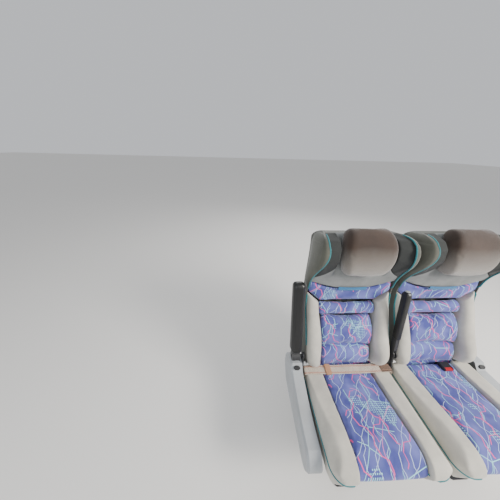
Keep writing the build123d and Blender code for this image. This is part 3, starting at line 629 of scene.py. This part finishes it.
def turnedPiece(name, size, place, aim):
    # short cylinder or hexagon standing on place along aim; size is sides, radius, height and rounding
    sides, radius, height, rounding = size
    deselect()
    middle = (0, 0, height / 2)
    bpy.ops.mesh.primitive_cylinder_add(vertices=sides, radius=radius, depth=height, location=middle)
    piece = bpy.context.object
    piece.name = name
    bpy.ops.object.transform_apply(location=True, rotation=False, scale=False)
    turn = Vector(aim).to_track_quat("Z", "Y").to_matrix().to_4x4()
    piece.data.transform(Matrix.Translation(place) @ turn)
    addModifier(piece, "BEVEL", width=rounding, segments=2, limit_method="ANGLE")
    applyModifiers(piece)
    bpy.ops.object.shade_smooth_by_angle(angle=0.6)
    return piece


def finishPiece(piece, body, nodeName=None):
    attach(piece, body)
    if nodeName:
        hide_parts(nodeName)


def finishPair(piece, other, bodyStart, nodeStart=None):
    # an aisle piece and its window copy; a name's start gets the seat's side
    for side, made in (("aisle", piece), ("window", other)):
        body = bodyStart + side if bodyStart else "base"
        finishPiece(made, body, nodeStart + side if nodeStart else None)


# head part and pillow

headForm = {
    "letOut": 0.0014,
    # seam of the wings
    "seamU": 0.126, "seamFoot": 0.575, "seamBend": 13.0, "seamWidth": 0.0045, "seamDepth": 0.0032,
    "seamBlend": 0.02,
    # stuffing of the wings
    "fillShare": 0.86, "rimShare": 0.99, "fillInner": 0.119, "fillRamp": 0.010, "fillFoot": 0.50,
    "rimSide": 0.195, "edgeGap": 0.012, "leastFacing": -0.3,
    # hang of the seam under the head part
    "sag": 0.024, "lift": 0.005, "half": 0.2, "edgeV": 0.448, "spread": 0.035,
}
pillowForm = {
    "foot": 0.522, "height": 0.220, "half": 0.122, "endLength": 0.046, "endReach": 1.03, "width": 0.955,
    "aside": 0.004,
    # what is left at the very end, and what comes back towards the middle
    "endHeight": (0.42, 0.58), "endDepth": (0.9, 0.1),
}


def sagSeam(piece):
    # the seam under the head part hangs lower in the middle; what is sewn near it follows
    form = headForm
    u, v, _ = backPlaces(piece)
    drop = form["sag"] * np.clip(1 - (u / form["half"]) ** 2, 0, 1) - form["lift"]
    drop = drop * np.exp(-((v - form["edgeV"]) / form["spread"]) ** 2)
    moveAtBack(piece, -drop, 0)


def sewWings(piece):
    # seam between the middle of the head part and its wings; past it lies the wings' painted shade
    form = headForm
    u, v, _ = backPlaces(piece)
    side = np.abs(u)
    seam = form["seamU"] + form["seamBend"] * np.maximum(form["seamFoot"] - v, 0) ** 2
    # how far each point lies in the wings' painted shade
    giveAttribute(piece, "wingShadeShare", np.clip(0.5 + (side - seam) / form["seamBlend"], 0, 1))
    pressSeam(piece, side - seam, form["seamWidth"], form["seamDepth"])


def fillWings(piece):
    # the wings are stuffed: their inner faces stand forward, nearly to the rim
    form = headForm
    normals = normalsOf(piece)
    u, v, w = backPlaces(piece)
    side = np.abs(u)
    facing = -normals[:, 1] * upZ + normals[:, 2] * upY
    ramp = eased(np.clip((side - form["fillInner"]) / form["fillRamp"], 0, 1))
    clear = side < readLine(halfLine, v) - form["edgeGap"]
    inner = (facing > form["leastFacing"]) & clear & (v > form["fillFoot"])
    fullness = np.interp(side, [form["fillInner"], form["rimSide"]], [form["fillShare"], form["rimShare"]])
    lift = np.maximum(readLine(edgeLine, v) * fullness * ramp - w, 0) * inner
    moveAtBack(piece, 0, lift)


def roundPillow(piece):
    # the pillow's ends are drawn in to a round
    form = pillowForm
    u, v, w = backPlaces(piece)
    past = np.abs(u) - form["half"] + form["endLength"]
    over = np.clip(past / (form["endLength"] * form["endReach"]), 0, 1)
    keep = np.sqrt(1 - over ** 2)
    middle = form["foot"] + form["height"] / 2
    newV = middle + (v - middle) * (form["endHeight"][0] + form["endHeight"][1] * keep)
    back = w.min()
    newW = back + (w - back) * (form["endDepth"][0] + form["endDepth"][1] * keep)
    moveAtBack(piece, newV - v, newW - w)
    spots = places(piece)
    spots[:, 0] = seatX["aisle"] + u * form["width"] + form["aside"]
    setPlaces(piece, spots)


# channelled pads of the backs

padForm = {
    "voxel": 0.005, "smooth": 6, "pressure": 5.0, "shrink": 0.003, "fill": 0.8,
    # the pattern bends round the top and bottom of a channel
    "bendDepth": 0.02, "bendShare": 0.8, "asideShare": 0.7, "secondCut": 4.3,
    # foot and top up the back, swell, pattern shift
    "channels": {
        "low": (-0.0124, 0.1014, 0.012, 0.35),
        "mid": (0.1026, 0.2644, 0.016, 1.10),
        "lumbar": (0.2656, 0.3344, 0.012, 2.05),
        "upper": (0.3356, 0.4700, 0.008, 3.40),
    },
}


def makePads():
    form = padForm
    for name, (foot, top, cap, shift) in form["channels"].items():
        piece = copyOfNode(f"pad_{name}_aisle", f"channel_{name}_aisle")
        evenMesh(piece, form["voxel"], form["smooth"])
        swell(piece, form["pressure"], cap, form["shrink"])
        refine(piece)
        if name == "upper":
            sagSeam(piece)
        u, v, w = backPlaces(piece)
        bend = np.maximum(w.max() - w - form["bendDepth"], 0) * form["bendShare"]
        rise = v + np.where(v > (foot + top) / 2, 1, -1) * bend
        giveClothPlace(piece, rise + shift, u + shift * form["asideShare"])
        paint(piece, "moquette")
        other = shiftedCopy(piece, f"channel_{name}_window")
        giveSecondPlace(other, shift + form["secondCut"])
        finishPair(piece, other, "back_", f"pad_{name}_")
    print("pads of the back made")


# sides, head parts, pillows and cushions

coverForm = {
    "pressure": 4.0, "cap": 0.008, "shrink": 0.002, "patternAlong": 0.4, "patternAcross": 5.2,
    "secondCut": 3.3,
    # node, piece, voxel, smoothing, finish, slot, body, fill
    "rows": (
        ("headrest", "headCover", 0.0058, 4, "shadedHeadVelour", "velour", "back_", 0.9),
        ("bolster_left", "sideLeft", 0.005, 6, "velour", "velour", "back_", 0.9),
        ("bolster_right", "sideRight", 0.005, 6, "velour", "velour", "back_", 0.9),
        ("pillow", "headPillow", 0.005, 8, "pillow", "pillow", "back_", 0.8),
        ("cushion", "cushionSides", 0.006, 5, "velour", "velour", None, 0.9),
        ("cushion_panel", "cushionPanel", 0.005, 6, "moquette", "moquette", None, 0.8),
    ),
}


def makeCovers():
    form = coverForm
    for node, name, voxel, smooth, finish, slotName, bodyStart, fill in form["rows"]:
        piece = copyOfNode(node + "_aisle", name + "_aisle")
        if node == "headrest":
            # its rims run out thin, so it is let out a little first
            addModifier(piece, "DISPLACE", strength=headForm["letOut"], mid_level=0)
        evenMesh(piece, voxel, smooth)
        if node == "headrest":
            fillWings(piece)
            evenMesh(piece, voxel, smooth)
        if node == "pillow":
            roundPillow(piece)
        if node in ("pillow", "cushion_panel"):
            swell(piece, form["pressure"], form["cap"], form["shrink"])
        refine(piece)
        if node == "headrest":
            sewWings(piece)
            sagSeam(piece)
        if node == "cushion_panel":
            x, y, _ = places(piece).T
            giveClothPlace(piece, y + form["patternAlong"], x - seatX["aisle"] + form["patternAcross"])
        paint(piece, finish)
        other = shiftedCopy(piece, name + "_window")
        if node == "cushion_panel":
            giveSecondPlace(other, form["secondCut"])
        finishPair(piece, other, bodyStart, node + "_")
    print("covers made")


makePads()
makeCovers()


# pull tabs under the head parts

tabForm = {"voxel": 0.0018, "smooth": 2, "drop": 0.001, "ahead": 0.009}


def makeTabs():
    form = tabForm
    piece = copyOfNode("head_tab_aisle", "pullTab_aisle")
    evenMesh(piece, form["voxel"], form["smooth"])
    sagSeam(piece)
    moveAtBack(piece, -form["drop"], form["ahead"])
    smoothShade(piece)
    paint(piece, "tealTab")
    other = shiftedCopy(piece, "pullTab_window")
    finishPair(piece, other, "back_", "head_tab_")
    print("tabs made")


makeTabs()


# arm pads

armForm = {
    "voxel": 0.004, "smooth": 3, "fill": 0.9,
    # centre arm: lean, pin, length and how thin its pad is
    "lean": 11.2, "pivotY": 0.144, "pivotZ": 0.5063, "length": 0.368, "footShare": 0.62, "topShare": 0.78,
    # its end cap
    "capSink": 0.006, "cap": (40, 0.0108, 0.0065, 0.0026),
}


def slimCentrePad(piece):
    # thinner from front to rear, more so at its foot
    form = armForm
    spots = places(piece)
    tilt = math.radians(form["lean"])
    y, z = spots[:, 1] - form["pivotY"], spots[:, 2] - form["pivotZ"]
    along = y * math.sin(tilt) + z * math.cos(tilt)
    ahead = -y * math.cos(tilt) + z * math.sin(tilt)
    share = form["footShare"] + (form["topShare"] - form["footShare"]) * np.clip(along / form["length"], 0, 1)
    move = ahead * (share - 1)
    spots[:, 1] -= move * math.cos(tilt)
    spots[:, 2] += move * math.sin(tilt)
    setPlaces(piece, spots)


def makeArmPads():
    form = armForm
    for name in ("aisle", "centre"):
        piece = copyOfNode("arm_pad_" + name, "armSkin_" + name)
        evenMesh(piece, form["voxel"], form["smooth"])
        if name == "centre":
            slimCentrePad(piece)
        refine(piece)
        paint(piece, "armSkin")
        finishPiece(piece, "armrest_" + name, "arm_pad_" + name)
    tilt = math.radians(form["lean"])
    along = Vector((0, math.sin(tilt), math.cos(tilt)))
    place = Vector((0, form["pivotY"], form["pivotZ"])) + along * (form["length"] - form["capSink"])
    cap = turnedPiece("armEnd_centre", form["cap"], place, along)
    paint(cap, "cover")
    finishPiece(cap, "armrest_centre")
    print("arm pads made")


makeArmPads()


# piping along the front edge of each back

pipingLook = {
    "radius": 0.0034, "inset": 0.0026, "liftShare": 0.6,
    # from, to and step up the back
    "stretches": ((0.006, 0.66, 0.018), (0.662, 0.715, 0.006)),
}
rimForm = {"wrap": 0.017, "middleV": 0.635, "spread": 0.075, "liftShare": 0.1, "rayFrom": 0.3}


def makePipe(points, name, radius):
    curve = bpy.data.curves.new(name, "CURVE")
    curve.dimensions = "3D"
    spline = curve.splines.new("NURBS")
    spline.points.add(len(points) - 1)
    for spot, point in zip(spline.points, points):
        spot.co = (*point, 1)
    spline.use_endpoint_u = True
    spline.order_u = 3
    curve.bevel_depth = radius
    curve.bevel_resolution = 2
    curve.use_fill_caps = True
    curve.resolution_u = 3
    pipe = bpy.data.objects.new(name, curve)
    scene.collection.objects.link(pipe)
    onlySelect(pipe)
    bpy.ops.object.convert(target="MESH")
    bpy.ops.object.shade_smooth()
    return pipe


def halfAt(v):
    # half width of a shell, its crown's corners rounded
    half = float(readLine(halfLine, v))
    corner = backForm["crownCorner"]
    over = v - (backForm["crownV"] - corner)
    if over > 0:
        half = min(half, backForm["crownHalf"] - corner + math.sqrt(max(corner ** 2 - over ** 2, 0)))
    return half


def wrapAt(v):
    # how far the padded side cover reaches in over the rim of a wing
    return rimForm["wrap"] * math.exp(-((v - rimForm["middleV"]) / rimForm["spread"]) ** 2)


def rimSpot(tree, x, turn, v):
    # point on the shell's front edge
    spot = x + turn * (halfAt(v) - pipingLook["inset"])
    return tree.ray_cast(atBack(spot, v, rimForm["rayFrom"]), backBehind)[0]


def makePiping():
    look = pipingLook
    for side, x in seatX.items():
        tree = treeOf(nodes["back_shell_" + side])
        for turn, hand in ((-1, "left"), (1, "right")):
            points = []
            for v in np.concatenate([np.arange(*stretch) for stretch in look["stretches"]]):
                spot = rimSpot(tree, x, turn, float(v))
                if spot is not None:
                    lift = backAhead * (look["radius"] * look["liftShare"] + rimForm["liftShare"] * wrapAt(v))
                    points.append(spot + lift - Vector((turn * wrapAt(v), 0, 0)))
            pipe = makePipe(points, f"piping_{hand}_{side}", look["radius"])
            paint(pipe, "tealCord")
            finishPiece(pipe, "back_" + side)
    print("piping made")


makePiping()


# padded covers over the outer sides of the head parts

sidePanelForm = {
    "lowV": 0.430, "topV": 0.712, "rearW": -0.060, "rimGap": 0.003, "sheet": 0.0026,
    "rows": 56, "columns": 34, "fill": 0.4, "cornerPower": 8, "offShare": 0.9,
    # share of the width that lies on the side, before the cover turns in over the rim
    "turnAt": 0.84, "tuck": 0.002, "turnRate": 1.6,
    "bulge": 0.0165, "bulgePast": 0.12, "bulgePower": 2.4,
}


def sidePanelSpot(tree, turn, a, b):
    # place of a point of a square grid, a forward and b up, laid on the shell and in over its rim
    form = sidePanelForm
    x = seatX["aisle"]
    off = form["sheet"] * form["offShare"]
    if a < 0:
        # rear corners rounded
        a = a * math.sqrt(1 - 0.5 * b ** form["cornerPower"])
    v = form["lowV"] + (b + 1) / 2 * (form["topV"] - form["lowV"])
    rim = rimSpot(tree, x, turn, v)
    rimW = -(rim.y - backForm["footY"]) * upZ + (rim.z - backForm["footZ"]) * upY
    share = (a + 1) / 2
    if share <= form["turnAt"]:
        w = form["rearW"] + share / form["turnAt"] * (rimW - form["rimGap"] - form["rearW"])
        hit = tree.ray_cast(atBack(x + turn * rimForm["rayFrom"], v, w), Vector((-turn, 0, 0)))
        arch = 1 - abs(2 * share / (form["turnAt"] + form["bulgePast"]) - 1) ** form["bulgePower"]
        swellBy = form["bulge"] * arch * (1 - abs(b) ** form["bulgePower"])
        return hit[0] + hit[1] * (max(swellBy, 0) + off)
    over = (share - form["turnAt"]) / (1 - form["turnAt"])
    across = halfAt(v) + off * (1 - over) - over * (wrapAt(v) + form["tuck"])
    rise = math.sin(math.pi / 2 * min(over * form["turnRate"], 1))
    ahead = rimW + form["sheet"] * 0.5 + (rimForm["liftShare"] * wrapAt(v) + form["tuck"]) * rise
    return atBack(x + turn * across, v, ahead)


def makeSidePanels():
    form = sidePanelForm
    tree = treeOf(nodes["back_shell_aisle"])
    for turn, hand in ((-1, "left"), (1, "right")):
        piece = newGrid(f"sidePanel_{hand}_aisle", form["columns"] - 1, form["rows"] - 1, 2)
        setPlaces(piece, np.array([tuple(sidePanelSpot(tree, turn, a, b)) for a, b, _ in places(piece)]))
        faceOutwards(piece)
        if normalsOf(piece)[:, 0].mean() * turn < 0:
            piece.data.flip_normals()
        addModifier(piece, "SOLIDIFY", thickness=form["sheet"], offset=-1)
        refine(piece)
        paint(piece, "shadedSideVelour")
        other = shiftedCopy(piece, f"sidePanel_{hand}_window")
        finishPair(piece, other, "back_")
    print("side panels made")


makeSidePanels()


# piping round each cushion

cushionForm = {
    "half": 0.232, "front": -0.294, "rear": 0.152, "height": 0.3945, "cord": 0.0026, "sunkShare": 0.5,
    # degrees, from one rear corner to the other by the front
    "start": 62, "sweep": 304, "steps": 96, "outside": 0.05,
}


def makeCushionPiping():
    form = cushionForm
    deep = (form["rear"] - form["front"]) / 2
    for side, x in seatX.items():
        tree = treeOf(bpy.data.objects["cushionSides_" + side])
        middle = Vector((x, (form["front"] + form["rear"]) / 2, form["height"]))
        points = []
        for step in range(form["steps"] + 1):
            angle = math.radians(form["start"] - form["sweep"] * step / form["steps"])
            ahead = Vector((math.cos(angle), math.sin(angle), 0))
            toSide = form["half"] / max(abs(ahead.x), tiny)
            toEnd = deep / max(abs(ahead.y), tiny)
            hit = tree.ray_cast(middle + ahead * (min(toSide, toEnd) + form["outside"]), -ahead)
            if hit[0] is not None:
                points.append(hit[0] + hit[1] * form["cord"] * form["sunkShare"])
        pipe = makePipe(points, f"cushionPiping_{side}", form["cord"])
        paint(pipe, "tealCord")
        finishPiece(pipe, "base")
    print("cushion piping made")


makeCushionPiping()


# straps

strapForm = {"across": 10, "edgeShare": 0.35}


def roundedPath(points, count, rounds=3):
    # each round cuts a quarter off at both ends of every stretch; then points at even steps
    line = [Vector(point) for point in points]
    for _ in range(rounds):
        cut = [line[0]]
        for a, b in zip(line, line[1:]):
            cut += [a.lerp(b, 0.25), a.lerp(b, 0.75)]
        line = cut + [line[-1]]
    steps = np.cumsum([0.0] + [(b - a).length for a, b in zip(line, line[1:])])
    even = np.linspace(0, steps[-1], count)
    flat = np.array([tuple(point) for point in line])
    return np.stack([np.interp(even, steps, flat[:, k]) for k in range(3)], 1), steps[-1]


def makeStrap(name, points, sideways, width, sheet, count):
    path, length = roundedPath(points, count)
    strap = newGrid(name, count - 1, strapForm["across"], 1)
    spots = places(strap)
    share = (spots[:, 0] + 0.5) * (count - 1)
    side = spots[:, 1]
    along = np.stack([np.interp(share, np.arange(count), path[:, k]) for k in range(3)], 1)
    setPlaces(strap, along + side[:, None] * width * np.array(sideways))
    lay = np.stack([share / (count - 1) * length, side * width, np.zeros(len(side))], 1)
    giveAttribute(strap, "strapLay", lay)
    addModifier(strap, "SOLIDIFY", thickness=sheet, offset=0)
    addModifier(strap, "BEVEL", width=sheet * strapForm["edgeShare"], segments=2, limit_method="ANGLE")
    applyModifiers(strap)
    faceOutwards(strap)
    bpy.ops.object.shade_smooth_by_angle(angle=0.7)
    return strap


# belts

beltForm = {
    "y": 0.112, "z": 0.4353, "tip": 8.0, "width": 0.046, "sheet": 0.0015, "count": 220,
    # distance from the seat's middle and height over the belt's plane
    "path": [
        (-0.2379, -0.072), (-0.2379, -0.006), (-0.2259, 0.0012), (-0.170, 0.0), (-0.128, -0.0034),
        (0.0, -0.0042), (0.128, -0.0034), (0.170, 0.0), (0.2259, 0.0012), (0.2379, -0.006), (0.2379, -0.072),
    ],
    "tail": [(0.176, 0.0026), (0.196, 0.0044), (0.2270, 0.0048), (0.2424, -0.004), (0.2424, -0.058)],
    "tailShare": 0.94, "tailCount": 60,
    # soft waves of worn webbing: height, turns along and across
    "waves": ((0.0006, 47, 0), (0.0005, 19, 90)), "calmHalf": 0.21, "calmRamp": 0.03,
    # the buckle's strap, Y and Z
    "stub": [
        (0.1270, 0.4167), (0.1410, 0.4144), (0.1500, 0.4142), (0.1536, 0.4110), (0.1533, 0.4030),
        (0.1531, 0.3140), (0.1181, 0.2920), (0.1181, 0.2820),
    ],
    "stubX": 0.312, "stubWidth": 0.030, "stubCount": 90,
}


def makeBelts():
    form = beltForm
    tip = math.radians(form["tip"])
    sideways = Vector((0, math.cos(tip), math.sin(tip)))
    over = Vector((0, -math.sin(tip), math.cos(tip)))
    start = Vector((seatX["aisle"], form["y"], form["z"]))

    def laid(rows):
        return [start + Vector((x, 0, 0)) + over * rise for x, rise in rows]

    sheet = form["sheet"]
    belt = makeStrap("lapBelt_aisle", laid(form["path"]), sideways, form["width"], sheet, form["count"])
    spots = places(belt)
    x, y, _ = spots.T
    wave = sum(height * np.sin(x * along + y * across) for height, along, across in form["waves"])
    calm = np.clip((form["calmHalf"] - np.abs(x - seatX["aisle"])) / form["calmRamp"], 0, 1)
    setPlaces(belt, spots + (wave * calm)[:, None] * np.array(over))
    paint(belt, "lapWebbing")
    finishPiece(belt, "base", "lap_belt_aisle")
    stubPath = [(form["stubX"], y, z) for y, z in form["stub"]]
    stub = makeStrap("buckleStrap_window", stubPath, (1, 0, 0), form["stubWidth"], sheet, form["stubCount"])
    paint(stub, "darkWebbing")
    finishPiece(stub, "base", "buckle_strap_window")
    tailWidth = form["width"] * form["tailShare"]
    folded = makeStrap("beltTail_aisle", laid(form["tail"]), sideways, tailWidth, sheet, form["tailCount"])
    # painted shade on the tail's webbing
    paint(folded, "shadedTailWebbing")
    finishPiece(folded, "base")
    print("belts made")


makeBelts()


# gussets that close the slot between a cushion and the foot of its back

gussetForm = {
    "half": 0.168, "cut": 0.0585, "count": 60, "sheet": 0.0012,
    # Y and Z, up from behind the cushion
    "route": [(0.1562, 0.356), (0.1562, 0.378), (0.1585, 0.390), (0.1645, 0.400), (0.1715, 0.4094)],
    # where the bend from base to back starts and ends
    "start": (0.1562, 0.376), "end": (0.171, 0.409),
    "patternScale": 1.3, "patternAlong": 2.2, "patternAcross": 3.1,
}


def makeGussets():
    form = gussetForm
    width = 2 * form["half"]
    for side, x in seatX.items():
        route = [(x, y, z) for y, z in form["route"]]
        cloth = makeStrap("gusset_" + side, route, (1, 0, 0), width, form["sheet"], form["count"])
        spots = places(cloth)
        along = spots[:, 2] * form["patternScale"] + form["patternAlong"]
        giveClothPlace(cloth, along, spots[:, 0] + form["patternAcross"])
        paint(cloth, "moquette")
        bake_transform(cloth)
    print("gussets made")


makeGussets()


# nets of the paper pockets

netForm = {
    "half": 0.1527, "foot": 0.1423, "top": 0.3277, "w": -0.1136, "sag": 0.006,
    "uncut": 0.54, "pitch": 0.011, "strand": 0.0013,
    # elastic hem along the top
    "hem": 0.012, "hemSheet": 0.0022, "hemCount": 60, "hemPoints": 9, "hemOff": 0.001, "hemSag": 0.003,
    "hemReach": 0.15,
}


def makeNets():
    form = netForm
    half = form["half"]
    count = int(form["uncut"] / form["pitch"])
    middle = (form["foot"] + form["top"]) / 2
    tall = (form["top"] - form["foot"]) / 2
    for side, x in seatX.items():
        net = newGrid("pocketNet_" + side, count, count, form["uncut"], math.radians(45))
        bpy.ops.object.transform_apply(location=False, rotation=True, scale=False)
        bpy.ops.object.mode_set(mode="EDIT")
        for aside, up in ((1, 0), (-1, 0), (0, 1), (0, -1)):
            spot = (aside * half, up * tall, 0)
            bpy.ops.mesh.select_all(action="SELECT")
            bpy.ops.mesh.bisect(plane_co=spot, plane_no=(aside, up, 0), clear_outer=True)
        bpy.ops.object.mode_set(mode="OBJECT")
        spots = places(net)
        bulge = (1 - (spots[:, 0] / half) ** 2) * (1 - (spots[:, 1] / tall) ** 2) * form["sag"]
        moved = [atBack(x + u, middle + v, form["w"] - b) for (u, v, _), b in zip(spots, bulge)]
        setPlaces(net, np.array([tuple(m) for m in moved]))
        addModifier(net, "WIREFRAME", thickness=form["strand"], use_boundary=True, use_even_offset=False)
        applyModifiers(net)
        bpy.ops.object.shade_smooth()
        paint(net, "net")
        finishPiece(net, "back_" + side, "pocket_net_" + side)
        hemPath = []
        for u in np.linspace(-half, half, form["hemPoints"]):
            off = form["hemOff"] + form["hemSag"] * (1 - (u / form["hemReach"]) ** 2)
            hemPath.append(atBack(x + u, form["top"] - form["hem"] / 2, form["w"] - off))
        hem = makeStrap("pocketHem_" + side, hemPath, backUp, form["hem"], form["hemSheet"], form["hemCount"])
        paint(hem, "darkWebbing")
        finishPiece(hem, "back_" + side)
    print("pocket nets made")


makeNets()


# floor bolts, plugs of the side covers and screws of the shells

fastenerForm = {
    "floorX": 0.300, "floorY": 0.170, "plateTop": 0.008,
    # sides, radius, height and rounding
    "washer": (32, 0.0115, 0.0018, 0.0004),
    "head": (6, 0.0098, 0.0064, 0.0008),
    "plug": (32, 0.0065, 0.0014, 0.0005),
    "screw": (28, 0.0062, 0.0022, 0.0006),
    "plugX": 0.5502, "plugSpots": ((-0.150, 0.312), (0.110, 0.330)),
    "shellSpots": ((-0.16, 0.045), (0.16, 0.045), (-0.17, 0.45), (0.17, 0.45)), "rayFrom": -0.4,
}


def finishJoined(pieces, name, finish, body):
    deselect()
    for piece in pieces:
        piece.select_set(True)
    bpy.context.view_layer.objects.active = pieces[0]
    bpy.ops.object.join()
    pieces[0].name = name
    paint(pieces[0], finish)
    finishPiece(pieces[0], body)


def makeFasteners():
    form = fastenerForm
    up = Vector((0, 0, 1))
    for side, turn in (("aisle", -1), ("window", 1)):
        bolts = []
        for y in (-form["floorY"], form["floorY"]):
            base = Vector((turn * form["floorX"], y, form["plateTop"]))
            bolts.append(turnedPiece("washer", form["washer"], base, up))
            bolts.append(turnedPiece("head", form["head"], base + up * form["washer"][2], up))
        finishJoined(bolts, "floorBolts_" + side, "bolt", "base")
        plugs = [turnedPiece("plug", form["plug"], (turn * form["plugX"], y, z), (turn, 0, 0))
                 for y, z in form["plugSpots"]]
        finishJoined(plugs, "coverPlugs_" + side, "cover", "base")
    for side, x in seatX.items():
        tree = treeOf(nodes["back_shell_" + side])
        screws = []
        for u, v in form["shellSpots"]:
            hit = tree.ray_cast(atBack(x + u, v, form["rayFrom"]), backAhead)
            screws.append(turnedPiece("screw", form["screw"], hit[0], hit[1]))
        finishJoined(screws, "shellScrews_" + side, "trim", "back_" + side)
    print("fasteners made")


makeFasteners()


# floor and light

roomLook = {
    "floor": colour(226, 224, 220), "floorRoughness": 0.8, "floorSize": 60, "floorDrop": 0.0005,
    "world": (0.86, 0.88, 0.92, 1.0), "worldStrength": 0.75,
    # name, place, aim, size, power, colour
    "lamps": (
        ("keyLight", (2.2, -1.5, 2.6), (0, 0.1, 0.7), 1.1, 190, (1.0, 0.96, 0.9)),
        ("fillLight", (-2.6, -2.2, 2.2), (0, 0, 0.6), 2.2, 40, (0.9, 0.95, 1.0)),
        ("rearLight", (0.8, 3.0, 2.8), (0, 0.2, 0.7), 2.0, 60, (1.0, 1.0, 1.0)),
    ),
}


def makeRoom():
    look = roomLook
    deselect()
    bpy.ops.mesh.primitive_plane_add(size=look["floorSize"], location=(0, 0, -look["floorDrop"]))
    floor = bpy.context.object
    floor.name = "floor"
    material, _, shader = newMaterial("paleFloor", look["floorRoughness"])
    shader.inputs["Base Color"].default_value = look["floor"]
    floor.data.materials.append(material)
    world = bpy.data.worlds.new("studio")
    world.use_nodes = True
    background = world.node_tree.nodes["Background"]
    background.inputs[0].default_value = look["world"]
    background.inputs[1].default_value = look["worldStrength"]
    scene.world = world
    for name, place, aim, size, power, tint in look["lamps"]:
        lamp = bpy.data.objects.new(name, bpy.data.lights.new(name, "AREA"))
        lamp.data.size = size
        lamp.data.energy = power
        lamp.data.color = tint
        lamp.location = place
        lamp.rotation_euler = (Vector(aim) - Vector(place)).to_track_quat("-Z", "Y").to_euler()
        scene.collection.objects.link(lamp)


makeRoom()
print("room made")
